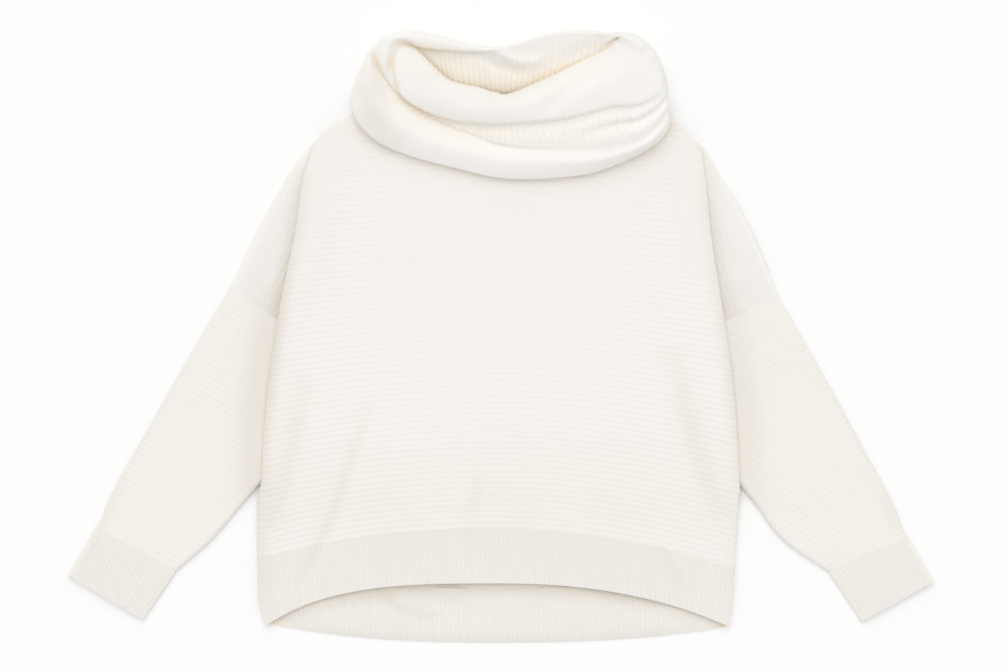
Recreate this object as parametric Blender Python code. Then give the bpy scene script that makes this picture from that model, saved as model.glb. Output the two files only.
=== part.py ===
"""An oversized rib-knit pullover with a large cowl collar, laid flat on its back.

Frame: metres, +X to the right as one looks down on the front, +Y towards the neck,
+Z up from the surface that it lies on. The origin is the middle of its footprint.
Every length below is in millimetres until an object is made.

The pieces are those of the real garment: a front and a back panel whose upper corners
are the dropped shoulders, two sleeves, two cuffs, a front and a back hem band, and the
collar. Each is one closed wall of knit. Its outer points carry the raised ribs and its
inner side is plain.
"""

import bpy
import bmesh
import numpy as np

MM = 0.001

# ---------------------------------------------------------------- driving dimensions
WALL = 2.2                # thickness of the body and sleeve knit
BAND_WALL = 1.6           # plain thickness of the hem bands and cuffs
COLLAR_WALL = 2.4         # thickness of the collar knit
SEAM_GAP = 0.4            # room between two pieces that are sewn or lie together
CENTRING = (0.5, -1.6)    # moves every piece, so that the origin is mid-footprint

BODY_RIBS = 71            # courses of ribs from the neckline down to the hem band
SLEEVE_RIBS = 49
WING_RIB = 6.7            # pitch of the ribs on the dropped shoulders
BAND_RIBS = 105
CUFF_RIBS = 19
COLLAR_RIBS = 72
COLLAR_RIB = 7.0          # pitch under which the collar's ribs flatten where they crowd
RIB_HEIGHT = 0.45         # how far a crest stands out, and a trough lies in
KNIT_ROUGHNESS = 0.93
BODY_CREAM = (0.90, 0.87, 0.82)
BAND_CREAM = (0.88, 0.85, 0.79)
COLLAR_CREAM = (0.92, 0.89, 0.84)

BACK_TOP = 2.2            # upper side of the back panel
PANEL_TOP = 8.0           # upper side of the front panel over the body
EDGE_BELOW = 2.7          # underside of the front's side edges below the underarm
FOLD_TOP = 12.5           # upper side of the front where it lies over a sleeve
FOLD_BELOW = 7.8          # underside of that fold
FOLD_RETURN = 8.0         # how far that fold turns back under itself
TUCK = 10.0               # how far a sleeve and a shoulder reach in under the fold
TUCK_ENDS = (190.0, 232.0)    # y between which that tuck narrows towards the shoulder
TUCK_NARROW = 0.4         # how much of it is left there
SLEEVE_TOP = 7.0
SHOULDER_EDGE = 5.0       # upper side of the front along its shoulder seams
UNDERARM = (-183.0, -203.0)   # where the fold over the sleeve turns into the side edge
UNDERARM_ROWS = (-174.0, -183.0, -190.0, -197.0, -206.0)   # rows of the inside round it
WING_ENDS = 24.0          # y where the fold leaves the dropped shoulder
EDGE_WRAP = 7.4           # way round the fold's outer edge, to its underside

# Where the body's columns of points stand, from its left edge (0) to its right one (1).
BODY_FLATS = (0.0, 0.028, 0.09, 0.24, 0.5, 0.76, 0.91, 0.972, 1.0)

NECK_CENTRE = (7.0, 268.0)
NECK_RADII = (112.0, 15.0)

# The front's side edges: the fold over each sleeve down to y = -174, and the side below.
BODY_EDGE = (
    # y, left x, right x
    (232, -226, 240),
    (186, -239, 246),
    (123, -248, 252),
    (51, -263, 263),
    (-27, -276, 275),
    (-100, -284, 282),
    (-174, -288, 286),
    (-203, -293, 285),
    (-268, -293, 281),
    (-316, -291, 278),
    (-350, -284, 274),
)
# The shoulder line, from the outer end of the fold to the middle of the neckline.
SHOULDER_LINE = (
    # distance left of the middle, distance right of it, y
    (236, 247, 224),
    (219, 230, 242),
    (197, 212, 260),
    (180, 204, 268),
    (119, 133, 283),
    (104, 118, 268),
    (60, 74, 259),
    (-7, 7, 256),
)
# Each sleeve's corners and the outer edge of the dropped shoulder above it.
SLEEVE_PLAN = {
    "left": dict(
        side=-1,
        shoulder=((-236, 224), (-262, 186), (-300, 115), (-324, 62)),
        armhole=((-324, 62), (-263, 16)),
        inner=((-263, 16), (-267, -27), (-273, -100), (-276, -150), (-279, -166),
               (-293, -181), (-310, -200), (-348, -244), (-390, -281)),
        cuff_seam=((-488, -230), (-390, -281)),
        cuff_end=((-521, -286), (-430, -340)),
        bulge=(8.0, 0.80),
    ),
    "right": dict(
        side=1,
        shoulder=((247, 224), (268, 186), (301, 115), (333, 49)),
        armhole=((333, 49), (263, 16)),
        inner=((263, 16), (266, -27), (272, -100), (275, -150), (277, -164),
               (288, -180), (306, -202), (338, -244), (393, -282)),
        cuff_seam=((489, -240), (393, -282)),
        cuff_end=((520, -294), (433, -342)),
        bulge=(8.0, 0.82),
    ),
}
# The arched seams and hems: y in the middle, how far each end drops, how sharply.
ARCHES = dict(
    # middle y, left drop, left power, right drop, right power
    band_seam=(-231, 35, 2.2, 47, 1.85),
    front_hem=(-296, 50, 3.2, 51, 2.3),
    back_seam=(-303, -36, 2.2, -28, 1.85),
    back_hem=(-367, -23, 2.5, -19, 2.5),
)
# Soft folds of the front, as troughs (positive depth) along straight lines.
BODY_FOLDS = (
    # x and y of the upper end, x and y of the lower end, depth, half width
    (-239, -59, -270, -213, 1.1, 9),
    (-150, -105, -208, -251, 1.3, 13),
    (15, -98, -23, -236, 0.8, 12),
    (177, 19, 262, -251, 1.3, 15),
    (-190, -60, -240, -230, -0.8, 12),
    (215, -40, 235, -240, -0.7, 13),
)
# The collar in sections, from the front middle round by the right. Each runs from the
# neck opening out to the edge. A share of 0 is the middle of the opening, 1 the edge.
COLLAR_RINGS = ("seam", "wall", "rim", "top", "brow", "crease", "band", "fold", "roll",
                "edge", "tuck", "hem")
COLLAR_PLAN = (
    # angle, edge x, edge y, wall, rim, top, brow, crease, band, fold, roll
    (270, 7, 189, 0.20, 0.04, 0.19, 0.385, 0.39, 0.55, 0.71, 0.86),
    (298, 86, 192, 0.18, 0.00, 0.17, 0.40, 0.41, 0.58, 0.76, 0.89),
    (318, 152, 213, 0.16, -0.03, 0.15, 0.43, 0.45, 0.66, 0.86, 0.94),
    (338, 195, 243, 0.14, -0.03, 0.15, 0.50, 0.56, 0.75, 0.91, 0.97),
    (355, 201, 284, 0.14, 0.00, 0.20, 0.55, 0.68, 0.82, 0.93, 0.98),
    (15, 193, 327, 0.14, 0.02, 0.28, 0.60, 0.75, 0.87, 0.95, 0.99),
    (38, 159, 364, 0.30, 0.80, 0.90, 0.96, 0.99, 1.00, 1.01, 1.01),
    (65, 98, 367, 0.20, 0.80, 0.89, 0.97, 1.01, 1.02, 1.02, 1.02),
    (97, -2, 347, -0.20, 0.68, 0.83, 0.96, 1.04, 1.06, 1.06, 1.04),
    (115, -44, 352, 0.05, 0.72, 0.85, 0.95, 1.01, 1.03, 1.03, 1.02),
    (138, -92, 366, 0.36, 0.78, 0.86, 0.94, 0.99, 1.01, 1.01, 1.01),
    (155, -143, 351, 0.30, 0.58, 0.72, 0.87, 0.93, 0.96, 0.98, 1.00),
    (170, -174, 310, 0.19, 0.12, 0.36, 0.69, 0.73, 0.79, 0.84, 0.90),
    (185, -179, 277, 0.22, 0.03, 0.26, 0.54, 0.57, 0.63, 0.70, 0.81),
    (212, -155, 237, 0.22, 0.00, 0.22, 0.46, 0.48, 0.54, 0.61, 0.76),
    (240, -92, 212, 0.22, 0.02, 0.22, 0.49, 0.50, 0.56, 0.62, 0.79),
)
COLLAR_HEIGHT = (
    # wall, rim, top, brow, crease, band, fold, roll, edge
    (22, 36, 46, 37, 25, 31, 26, 32, 19),
    (22, 38, 48, 39, 27, 32, 27, 33, 19),
    (22, 40, 51, 42, 31, 34, 27, 32, 18),
    (22, 41, 53, 46, 38, 39, 27, 29, 17),
    (22, 41, 54, 51, 46, 41, 31, 27, 15),
    (22, 40, 54, 52, 48, 42, 33, 26, 13),
    (18, 46, 50, 47, 41, 34, 27, 20, 11),
    (13, 34, 37, 36, 31, 26, 20, 14, 8),
    (10, 32, 34, 33, 29, 24, 18, 13, 7),
    (12, 34, 37, 36, 31, 26, 20, 14, 8),
    (16, 37, 41, 40, 35, 29, 22, 15, 8),
    (22, 41, 47, 44, 36, 34, 30, 24, 12),
    (22, 37, 47, 43, 31, 36, 40, 40, 22),
    (22, 36, 46, 40, 27, 34, 39, 41, 22),
    (22, 36, 45, 38, 25, 31, 36, 39, 21),
    (22, 36, 45, 36, 22, 28, 31, 36, 20),
)
OPENING_CENTRE = (7.0, 303.0)
OPENING_RADII = (46.0, 7.0)
TUCK_IN = (6.0, 16.0)     # how far the collar's edge turns in below, at tuck and at hem
COLLAR_SEAM = (9.6, 5.4)  # height of the collar's seam at the front and at the back
COLLAR_BASE = 9.6         # underside of the collar where it lies on the front panel

# Local folds of the collar, as troughs (positive depth) along a few points.
COLLAR_FOLDS = (
    # depth, half width, points
    (4.0, 6.0, ((149, 326), (94, 302), (42, 262))),
    (5.5, 5.0, ((116, 251), (146, 249), (166, 257), (184, 270))),
    (6.0, 5.0, ((-134, 323), (-130, 340), (-114, 352))),
    (5.0, 6.0, ((-120, 350), (-98, 347), (-55, 339), (-20, 338))),
    (-5.0, 9.0, ((-20, 340), (0, 325), (20, 318), (42, 324))),
    (5.0, 5.0, ((170, 345), (176, 336))),
)

# ------------------------------------------------------------------------- arithmetic


def lerp(a, b, t):
    return a + (b - a) * t


def smoothstep(low, high, value):
    t = np.clip((value - low) / (high - low), 0.0, 1.0)
    return t * t * (3 - 2 * t)


def arch(name, u):
    """y of an arched seam or hem at u, from -1 at the left edge to 1 at the right."""
    middle, left_drop, left_power, right_drop, right_power = ARCHES[name]
    u = np.asarray(u, float)
    left = left_drop * np.abs(u) ** left_power
    right = right_drop * np.abs(u) ** right_power
    return middle - np.where(u < 0, left, right)


def band_seam(flat):
    """y of the seam between the body and the front band, straight between columns."""
    stops = np.array(BODY_FLATS)
    return np.interp(flat, stops, arch("band_seam", 2 * stops - 1))


def body_edges(y):
    """Left and right x of the front at a height y."""
    rows = np.array(BODY_EDGE[::-1], float)
    return np.interp(y, rows[:, 0], rows[:, 1]), np.interp(y, rows[:, 0], rows[:, 2])


def tuck_share(y):
    """How much of the full tuck there is at a height y."""
    return lerp(1.0, TUCK_NARROW, smoothstep(*TUCK_ENDS, y))


def shoulder_y(x):
    """y of the front's upper boundary at x: a shoulder, the hidden neckline, a shoulder."""
    rows = np.array(SHOULDER_LINE, float)
    left = np.interp(-x, rows[::-1, 0], rows[::-1, 2])
    right = np.interp(x, rows[::-1, 1], rows[::-1, 2])
    return np.where(x < NECK_CENTRE[0], left, right)


def catmull_rom(points, t, closed=False):
    """Points of a smooth curve through these (a row each), at t counted in rows."""
    points = np.asarray(points, float)
    count = len(points)
    t = np.asarray(t, float)
    if closed:
        base = np.floor(t).astype(int)
        near = [points[(base + k) % count] for k in (-1, 0, 1, 2)]
    else:
        base = np.clip(np.floor(t).astype(int), 0, count - 2)
        near = [points[np.clip(base + k, 0, count - 1)] for k in (-1, 0, 1, 2)]
    f = (t - base).reshape(-1, *([1] * (points.ndim - 1)))
    before, start, end, after = near
    return 0.5 * (
        2 * start + (end - before) * f
        + (2 * before - 5 * start + 4 * end - after) * f ** 2
        + (3 * start - before - 3 * end + after) * f ** 3
    )


def along(points, t):
    """Points at these shares of the length of a polyline."""
    points = np.asarray(points, float)
    steps = np.linalg.norm(np.diff(points, axis=0), axis=1)
    reach = np.concatenate([[0], np.cumsum(steps)]) / steps.sum()
    return np.stack([np.interp(t, reach, column) for column in points.T], axis=-1)


def fold_share(points, half_width, x, y):
    """How much of a fold along a polyline there is at places (x, y). It dies out to both
    sides of the line, and towards its two ends."""
    best = np.full(np.shape(x), np.inf)
    place = np.zeros(np.shape(x))
    passed = 0.0
    for (ax, ay), (bx, by) in zip(points[:-1], points[1:]):
        dx, dy = bx - ax, by - ay
        length = np.hypot(dx, dy)
        t = np.clip(((x - ax) * dx + (y - ay) * dy) / length ** 2, 0, 1)
        away = np.hypot(x - ax - t * dx, y - ay - t * dy)
        place = np.where(away < best, passed + t * length, place)
        best = np.minimum(best, away)
        passed += length
    ends = np.sin(np.pi * np.clip(place / passed, 0, 1)) ** 0.5
    return ends * np.exp(-(best / half_width) ** 2)


def normals(points, closed=False):
    """Unit normals of a grid of points. With closed, its columns join up."""
    if closed:
        across = np.roll(points, -1, axis=1) - np.roll(points, 1, axis=1)
    else:
        across = np.gradient(points, axis=1)
    found = np.cross(np.gradient(points, axis=0), across)
    return found / np.maximum(np.linalg.norm(found, axis=2, keepdims=True), 1e-9)


# --------------------------------------------------------------------------- meshing


class Wall:
    """The points and triangles of one closed solid."""

    def __init__(self):
        self.points = []
        self.faces = []

    def grid(self, points, closed=False):
        """Adds a grid of points as a surface, and gives their numbers."""
        rows, columns = points.shape[:2]
        numbers = np.arange(rows * columns).reshape(rows, columns) + len(self.points)
        self.points.extend(points.reshape(-1, 3))
        right = np.roll(numbers, -1, axis=1)
        last = columns if closed else columns - 1
        for i in range(rows - 1):
            for j in range(last):
                a, b = numbers[i, j], right[i, j]
                c, d = right[i + 1, j], numbers[i + 1, j]
                self.faces += [(a, b, c), (a, c, d)]
        return numbers

    def strip(self, first, second, closed=False):
        """Joins two runs of points of any counts with a strip of triangles, each point to
        the ones nearest to it along the other run."""
        first, second = list(first), list(second)
        if closed:
            first, second = first + first[:1], second + second[:1]
        reach = []
        for run in (first, second):
            places = np.array([self.points[number] for number in run])
            places[1:-1] = (places[:-2] + 2 * places[1:-1] + places[2:]) / 4
            steps = np.linalg.norm(np.diff(places, axis=0), axis=1)
            total = max(steps.sum(), 1e-9)
            reach.append(np.concatenate([[0], np.cumsum(steps)]) / total)
        i = j = 0
        while i < len(first) - 1 or j < len(second) - 1:
            can_first = i < len(first) - 1
            can_second = j < len(second) - 1
            if can_first and (not can_second
                              or 2 * reach[0][i + 1] <= reach[1][j] + reach[1][j + 1]):
                self.faces.append((first[i], first[i + 1], second[j]))
                i += 1
            else:
                self.faces.append((first[i], second[j + 1], second[j]))
                j += 1

    def make(self, name, colour):
        """Makes the object of this solid."""
        solid = bmesh.new()
        verts = [solid.verts.new(MM * np.array(p)) for p in self.points]
        for face in self.faces:
            solid.faces.new([verts[number] for number in face])
        finish(solid, name, colour)


def finish(solid, name, colour):
    """Makes the object from its solid, with its normals facing out and its own knit."""
    shift = (MM * CENTRING[0], MM * CENTRING[1], 0.0)
    bmesh.ops.translate(solid, verts=solid.verts, vec=shift)
    bmesh.ops.recalc_face_normals(solid, faces=solid.faces)
    if solid.calc_volume(signed=True) < 0:
        bmesh.ops.reverse_faces(solid, faces=solid.faces)
    mesh = bpy.data.meshes.new(name)
    solid.to_mesh(mesh)
    solid.free()
    mesh.shade_smooth()
    mesh.set_sharp_from_angle(angle=np.radians(50))
    material = bpy.data.materials.new(name + "_knit")
    material.use_nodes = True
    shader = material.node_tree.nodes["Principled BSDF"]
    shader.inputs["Base Color"].default_value = (*colour, 1.0)
    shader.inputs["Roughness"].default_value = KNIT_ROUGHNESS
    mesh.materials.append(material)
    bpy.context.collection.objects.link(bpy.data.objects.new(name, mesh))


def ribs(count, amplitude=RIB_HEIGHT):
    """Offsets of count ribs with two points each, trough and crest by turns."""
    return amplitude * np.where(np.arange(2 * count + 1) % 2, 1.0, -1.0)


# ----------------------------------------------------------------- front and its band


def front_top(x, y):
    """Height of the front's upper side."""
    left, right = body_edges(y)
    over_sleeve = smoothstep(UNDERARM[1], UNDERARM[0], y)
    edge_top = lerp(PANEL_TOP + 0.6, FOLD_TOP, over_sleeve)
    inside = np.minimum(x - left, right - x)
    near_edge = np.exp(-(np.maximum(inside - 17, 0) / 24.0) ** 2)
    z = lerp(PANEL_TOP, edge_top, near_edge)
    below_shoulder = np.clip((shoulder_y(x) - y) / 12.0, 0, 1)
    near_tip = smoothstep(180.0, 216.0, np.abs(x - NECK_CENTRE[0]))
    rounding = np.maximum(np.sqrt(1 - (1 - below_shoulder) ** 2), near_tip)
    z = lerp(SHOULDER_EDGE, z, rounding)
    for ax, ay, bx, by, depth, half_width in BODY_FOLDS:
        z = z - depth * fold_share(((ax, ay), (bx, by)), half_width, x, y)
    return z


def across_front(y, flat, wrap):
    """Points of the front at heights y. flat runs from 0 at the left edge to 1 at the
    right one, and wrap is the way round that edge in millimetres, from its upper side."""
    left, right = body_edges(y)
    over_sleeve = smoothstep(UNDERARM[1], UNDERARM[0], y)
    below = lerp(EDGE_BELOW, FOLD_BELOW, over_sleeve)
    edge_x = np.where(flat < 0.5, left, right)
    outwards = np.where(flat < 0.5, -1.0, 1.0)
    top = front_top(edge_x - outwards * 4.0, y)
    radius = (top - below) / 2
    turn = np.minimum(wrap / radius, np.pi)
    back = np.maximum(wrap - np.pi * radius, 0.0) * tuck_share(y)
    x_round = edge_x - outwards * (radius - radius * np.sin(turn) + back)
    z_round = below + radius + radius * np.cos(turn)
    x_flat = lerp(left + radius, right - radius, flat)
    is_round = wrap > 0
    x = np.where(is_round, x_round, x_flat)
    z = np.where(is_round, z_round, front_top(x_flat, y))
    return np.stack([x, y, z], axis=-1)


def body_row(v, flat):
    """y of the body's courses at v from 0 at the neckline to 1 at the band seam."""
    u = 2 * flat - 1
    middle = ARCHES["band_seam"][0] + SEAM_GAP
    neck = SHOULDER_LINE[-1][2]
    droop = (ARCHES["band_seam"][0] - band_seam(flat)) * v ** 1.3
    y = lerp(neck, middle, v) - droop
    left, right = body_edges(np.full(np.shape(u), 224.0))
    return y + (shoulder_y(lerp(left, right, flat)) - neck) * (1 - v) ** 3


def body_columns(return_length):
    """flat and wrap of the body's columns, and how much of the rib each carries."""
    side = ((0.0, EDGE_WRAP + return_length, 0.0), (0.0, EDGE_WRAP, 0.0),
            (0.0, EDGE_WRAP / 2, 0.5))
    rows = list(side) + [(flat, 0.0, 1.0) for flat in BODY_FLATS]
    rows += [(1.0, wrap, rib) for _, wrap, rib in side[::-1]]
    return np.array(rows).T


def wing_grid(plan, offsets, shares, inset, drop):
    """Points of a dropped shoulder: rows parallel to its outer edge at these offsets from
    it, from the tuck under the fold (share 0) to the armhole seam (share 1)."""
    tip, foot = np.array(plan["shoulder"][0], float), np.array(plan["armhole"][0], float)
    inner = np.array(plan["armhole"][1], float)
    upward = (tip - foot) / np.linalg.norm(tip - foot)
    inward = np.array([-plan["side"] * abs(upward[1]), -abs(upward[0])])
    depth = (inner - foot) @ inward
    grid = np.zeros((len(offsets), len(shares), 3))
    for i, offset in enumerate(offsets):
        end = lerp(foot, inner, offset / depth)
        reach = np.linspace(0, 260, 521)
        run = end + reach[:, None] * upward
        edge = body_edges(run[:, 1])[0 if plan["side"] < 0 else 1]
        wanted = TUCK * tuck_share(run[:, 1]) + inset
        missing = wanted - plan["side"] * (edge - run[:, 0])
        stop = np.argmax((missing < 0) | (run[:, 1] > TUCK_ENDS[1]))
        along_row = reach[stop] * (1 - shares)
        row = end + along_row[:, None] * upward
        row[:, 0] -= plan["side"] * max(missing[stop], 0.0) * (1 - shares) ** 8
        share = along_row / max(np.linalg.norm(tip - foot), 1)
        bow = 5.0 * np.sin(np.pi * np.clip(share, 0, 1)) * np.exp(-offset / 25.0)
        grid[i, :, :2] = row - bow[:, None] * inward
        rise = np.sqrt(1 - (1 - np.clip(offset / 10.0, 0, 1)) ** 2)
        grid[i, :, 2] = lerp(SHOULDER_EDGE, SLEEVE_TOP, rise) - drop
    return grid


def make_front():
    """The front panel: the body's wall, and the two dropped shoulders that go on from it
    in the tuck under each fold."""
    wall = Wall()
    v = np.linspace(0, 1, 2 * BODY_RIBS + 1)
    flat, wrap, rib = body_columns(FOLD_RETURN)
    y = body_row(v[:, None], flat[None, :])
    smooth = across_front(y, flat[None, :] + 0 * y, wrap[None, :] + 0 * y)
    facing = normals(smooth)
    facing *= np.sign(facing[len(v) // 2, len(flat) // 2, 2])
    outer = smooth + facing * (ribs(BODY_RIBS)[:, None] * rib[None, :])[..., None]

    fold_ends = int(np.argmax(y[:, 0] < WING_ENDS)) // 2 * 2
    turning = [np.argmax(y[:, 0] < height) for height in UNDERARM_ROWS]
    picked = np.unique(np.concatenate([
        np.linspace(0, fold_ends, 6), np.linspace(fold_ends, turning[0], 6), turning,
        np.linspace(turning[-1], len(v) - 1, 4)]).astype(int))
    inner_flat, inner_wrap, _ = body_columns(FOLD_RETURN + WALL + 0.4)
    y_inner = body_row(v[picked][:, None], inner_flat[None, :])
    plain = across_front(y_inner, inner_flat[None, :] + 0 * y_inner,
                         inner_wrap[None, :] + 0 * y_inner)
    facing = normals(plain)
    facing *= np.sign(facing[len(picked) // 2, len(flat) // 2, 2])
    inner = plain - WALL * facing
    outer_ids, inner_ids = wall.grid(outer), wall.grid(inner)
    inner_fold = int(np.where(picked == fold_ends)[0][0])

    wall.strip(outer_ids[0], inner_ids[0])
    wall.strip(outer_ids[-1], inner_ids[-1])
    for name, column in (("left", 0), ("right", -1)):
        plan = SLEEVE_PLAN[name]
        foot, corner = (np.array(p, float) for p in plan["armhole"])
        tip = np.array(plan["shoulder"][0], float)
        span = (tip - foot) / np.linalg.norm(tip - foot)
        depth = abs(span[0] * (corner - foot)[1] - span[1] * (corner - foot)[0])
        count = int(0.93 * depth / WING_RIB)
        offsets = np.linspace(0, count * WING_RIB, 2 * count + 1)
        shares = np.array([0.0, 0.12, 0.4, 0.7, 1.0])
        wing = wing_grid(plan, offsets, shares, 0.0, 0.0)
        raised = ribs(count)[:, None] * np.array([0.0, 0.6, 1.0, 1.0, 1.0])[None, :]
        wing[..., 2] += raised
        coarse = np.linspace(0, offsets[-1], 7)
        under = wing_grid(plan, coarse, shares[[0, 2, 4]], WALL + 0.4, WALL)
        wing_ids, under_ids = wall.grid(wing), wall.grid(under)
        side_outer, side_inner = outer_ids[:, column], inner_ids[:, column]
        wall.strip(side_outer[:fold_ends + 1], wing_ids[:, 0])
        wall.strip(side_inner[:inner_fold + 1], under_ids[:, 0])
        wall.strip((side_outer[0], wing_ids[0, 0]), (side_inner[0], under_ids[0, 0]))
        wall.strip(wing_ids[0], under_ids[0])
        wall.strip(wing_ids[:, -1], under_ids[:, -1])
        wall.strip(wing_ids[-1], under_ids[-1])
        wall.strip((wing_ids[-1, 0], side_outer[fold_ends]),
                   (under_ids[-1, 0], side_inner[inner_fold]))
        wall.strip(side_outer[fold_ends:], side_inner[inner_fold:])
    wall.make("front_panel", BODY_CREAM)


def make_front_band():
    """The front hem band: ribs down it, rolled under at both sides like the body."""
    wall = Wall()
    flat_length = 562.0
    radius = (PANEL_TOP + 0.6 - EDGE_BELOW) / 2
    round_length = np.pi * radius
    total = flat_length + 2 * round_length
    place = np.linspace(0, total, 2 * BAND_RIBS + 1)

    def columns(places):
        flat = np.clip((places - round_length) / flat_length, 0, 1)
        wrap = np.maximum(round_length - places, places - round_length - flat_length)
        return flat, np.maximum(wrap, 0)

    def surface(places, shares):
        flat, wrap = columns(places)
        u = 2 * flat - 1
        start = band_seam(flat) - SEAM_GAP
        y = lerp(start[None, :], arch("front_hem", u)[None, :], shares[:, None])
        return across_front(y, flat[None, :] + 0 * y, wrap[None, :] + 0 * y)

    smooth = surface(place, np.array([0.0, 0.5, 1.0]))
    facing = normals(smooth)
    facing *= np.sign(facing[1, len(place) // 2, 2])
    raised = 2 * RIB_HEIGHT * (np.arange(len(place)) % 2)
    raised = raised * smoothstep(2.0, 8.0, np.minimum(place, total - place))
    outer = smooth + facing * (raised[None, :, None] - RIB_HEIGHT)
    coarse = np.concatenate([[0, 3.5, 7], np.linspace(round_length, total - round_length, 56),
                             [total - 7, total - 3.5, total]])
    plain = surface(coarse, np.array([0.0, 1.0]))
    facing = normals(plain)
    facing *= np.sign(facing[0, len(coarse) // 2, 2])
    inner = plain - (BAND_WALL + RIB_HEIGHT) * facing
    outer_ids, inner_ids = wall.grid(outer), wall.grid(inner)
    for first, second in ((outer_ids[0], inner_ids[0]), (outer_ids[-1], inner_ids[-1]),
                          (outer_ids[:, 0], inner_ids[:, 0]),
                          (outer_ids[:, -1], inner_ids[:, -1])):
        wall.strip(first, second)
    wall.make("hem_band_front", BAND_CREAM)


# ------------------------------------------------------------------ back and its band


def slab(name, outline, height, colour):
    """A flat piece of cloth that rests on the surface, from its outline."""
    solid = bmesh.new()
    ring = [solid.verts.new((MM * x, MM * y, 0.0)) for x, y in outline]
    face = solid.faces.new(ring)
    raised = bmesh.ops.extrude_face_region(solid, geom=[face])["geom"]
    verts = [item for item in raised if isinstance(item, bmesh.types.BMVert)]
    bmesh.ops.translate(solid, verts=verts, vec=(0, 0, MM * height))
    bmesh.ops.triangulate(solid, faces=solid.faces)
    finish(solid, name, colour)


def make_back():
    """The back panel, flat on the surface, with its dropped shoulders. Beside each sleeve
    it stops short of the sleeve's tucked edge."""
    def side(name, column):
        plan = SLEEVE_PLAN[name]
        edge = [row[column] for row in BODY_EDGE]
        heights = [row[0] for row in BODY_EDGE]
        clear = TUCK + 4.0
        points = [tuple(p) for p in along(plan["shoulder"], np.linspace(0, 1, 6))]
        foot, corner = plan["armhole"]
        points.append(tuple(lerp(np.array(foot, float), np.array(corner, float), 0.8)))
        inner_y = (24.0, -10.0, -27.0, -100.0, -150.0, -184.0)
        found = np.interp(inner_y, heights[::-1], edge[::-1])
        points += [(x - plan["side"] * clear, y) for x, y in zip(found, inner_y)]
        for y in (-206.0, -235.0, arch("back_seam", plan["side"]) + SEAM_GAP):
            x = np.interp(y, heights[::-1], edge[::-1])
            points.append((x - plan["side"] * 0.5, float(y)))
        return points

    u = np.linspace(1, -1, 13)[1:-1]
    left, right = body_edges(arch("back_seam", u))
    seam = [(float(lerp(a, b, (w + 1) / 2)), float(y) + SEAM_GAP)
            for a, b, w, y in zip(left, right, u, arch("back_seam", u))]
    turn = np.radians(np.linspace(180, 0, 9))
    neck = [(NECK_CENTRE[0] + (NECK_RADII[0] + 8) * np.cos(t),
             NECK_CENTRE[1] + 2 + (NECK_RADII[1] + 3) * np.sin(t)) for t in turn]
    left_side = side("left", 1)
    left_shoulder = [(-180, 268), (-197, 258)]
    right_shoulder = [(212, 258), (204, 266)]
    outline = neck + right_shoulder[::-1] + side("right", 2) + seam
    outline += left_side[::-1] + left_shoulder[::-1]
    slab("back_panel", outline, BACK_TOP, BODY_CREAM)


def make_back_band():
    """The back hem band, flat on the surface. Its ribs are raised on the side that shows
    below the front hem."""
    wall = Wall()
    flat = np.linspace(0, 1, 2 * BAND_RIBS + 1)
    u = 2 * flat - 1

    def rows(shares, at, width_in):
        v = 2 * at - 1
        y = lerp((arch("back_seam", v) - SEAM_GAP)[None, :],
                 arch("back_hem", v)[None, :], shares[:, None])
        left, right = body_edges(y)
        return lerp(left + width_in, right - width_in, at[None, :]), y

    shares = np.array([0.0, 0.55, 1.0])
    x, y = rows(shares, flat, 0.5)
    raised = 2 * RIB_HEIGHT * (np.arange(len(flat)) % 2)
    amount = np.array([0.0, 0.8, 0.8])
    z = 1.5 + amount[:, None] * raised[None, :]
    outer_ids = wall.grid(np.stack([x, y, z], axis=-1))
    coarse = np.linspace(0, 1, 57)
    x, y = rows(np.array([0.0, 1.0]), coarse, 0.5)
    under_ids = wall.grid(np.stack([x, y, 0 * y], axis=-1))
    for first, second in ((outer_ids[0], under_ids[0]), (outer_ids[-1], under_ids[-1]),
                          (outer_ids[:, 0], under_ids[:, 0]),
                          (outer_ids[:, -1], under_ids[:, -1])):
        wall.strip(first, second)
    wall.make("hem_band_back", BAND_CREAM)


# -------------------------------------------------------------------- sleeves and cuffs


def tube_section(height, thick=0.0):
    """Shares across a flattened tube, their insets from its edges and their heights, from
    the outer edge's foot over the top to the inner edge's foot. thick gives the inside."""
    top, foot = height - thick, thick
    middle = (top + foot) / 2
    side = 3.5
    return (
        # share across, inset from that side's edge, height
        (0.0, thick + 1.6, foot),
        (0.0, thick, middle),
        (0.0, thick + side, top - 0.5),
        (0.5, 0.0, top),
        (1.0, thick + side, top - 0.5),
        (1.0, thick, middle),
        (1.0, thick + 1.6, foot),
    )


# The flat underside of a tube, in from both of its edges.
UNDER_SECTION = ((0.0, 12.0, 0.0), (1.0, 12.0, 0.0))


def across_tube(outer_edge, inner_edge, section):
    """Rows of a flattened tube between its outer and inner edges (a point each row)."""
    width = np.linalg.norm(inner_edge - outer_edge, axis=1)[:, None]
    way = (inner_edge - outer_edge) / width
    grid = []
    for share, inset, z in section:
        if share == 0.5:
            place = (outer_edge + inner_edge) / 2
        elif share < 0.5:
            place = outer_edge + way * (inset + share * width)
        else:
            place = inner_edge - way * (inset + (1 - share) * width)
        grid.append(np.concatenate([place, np.full((len(place), 1), float(z))], axis=1))
    return np.stack(grid, axis=1)


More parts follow.
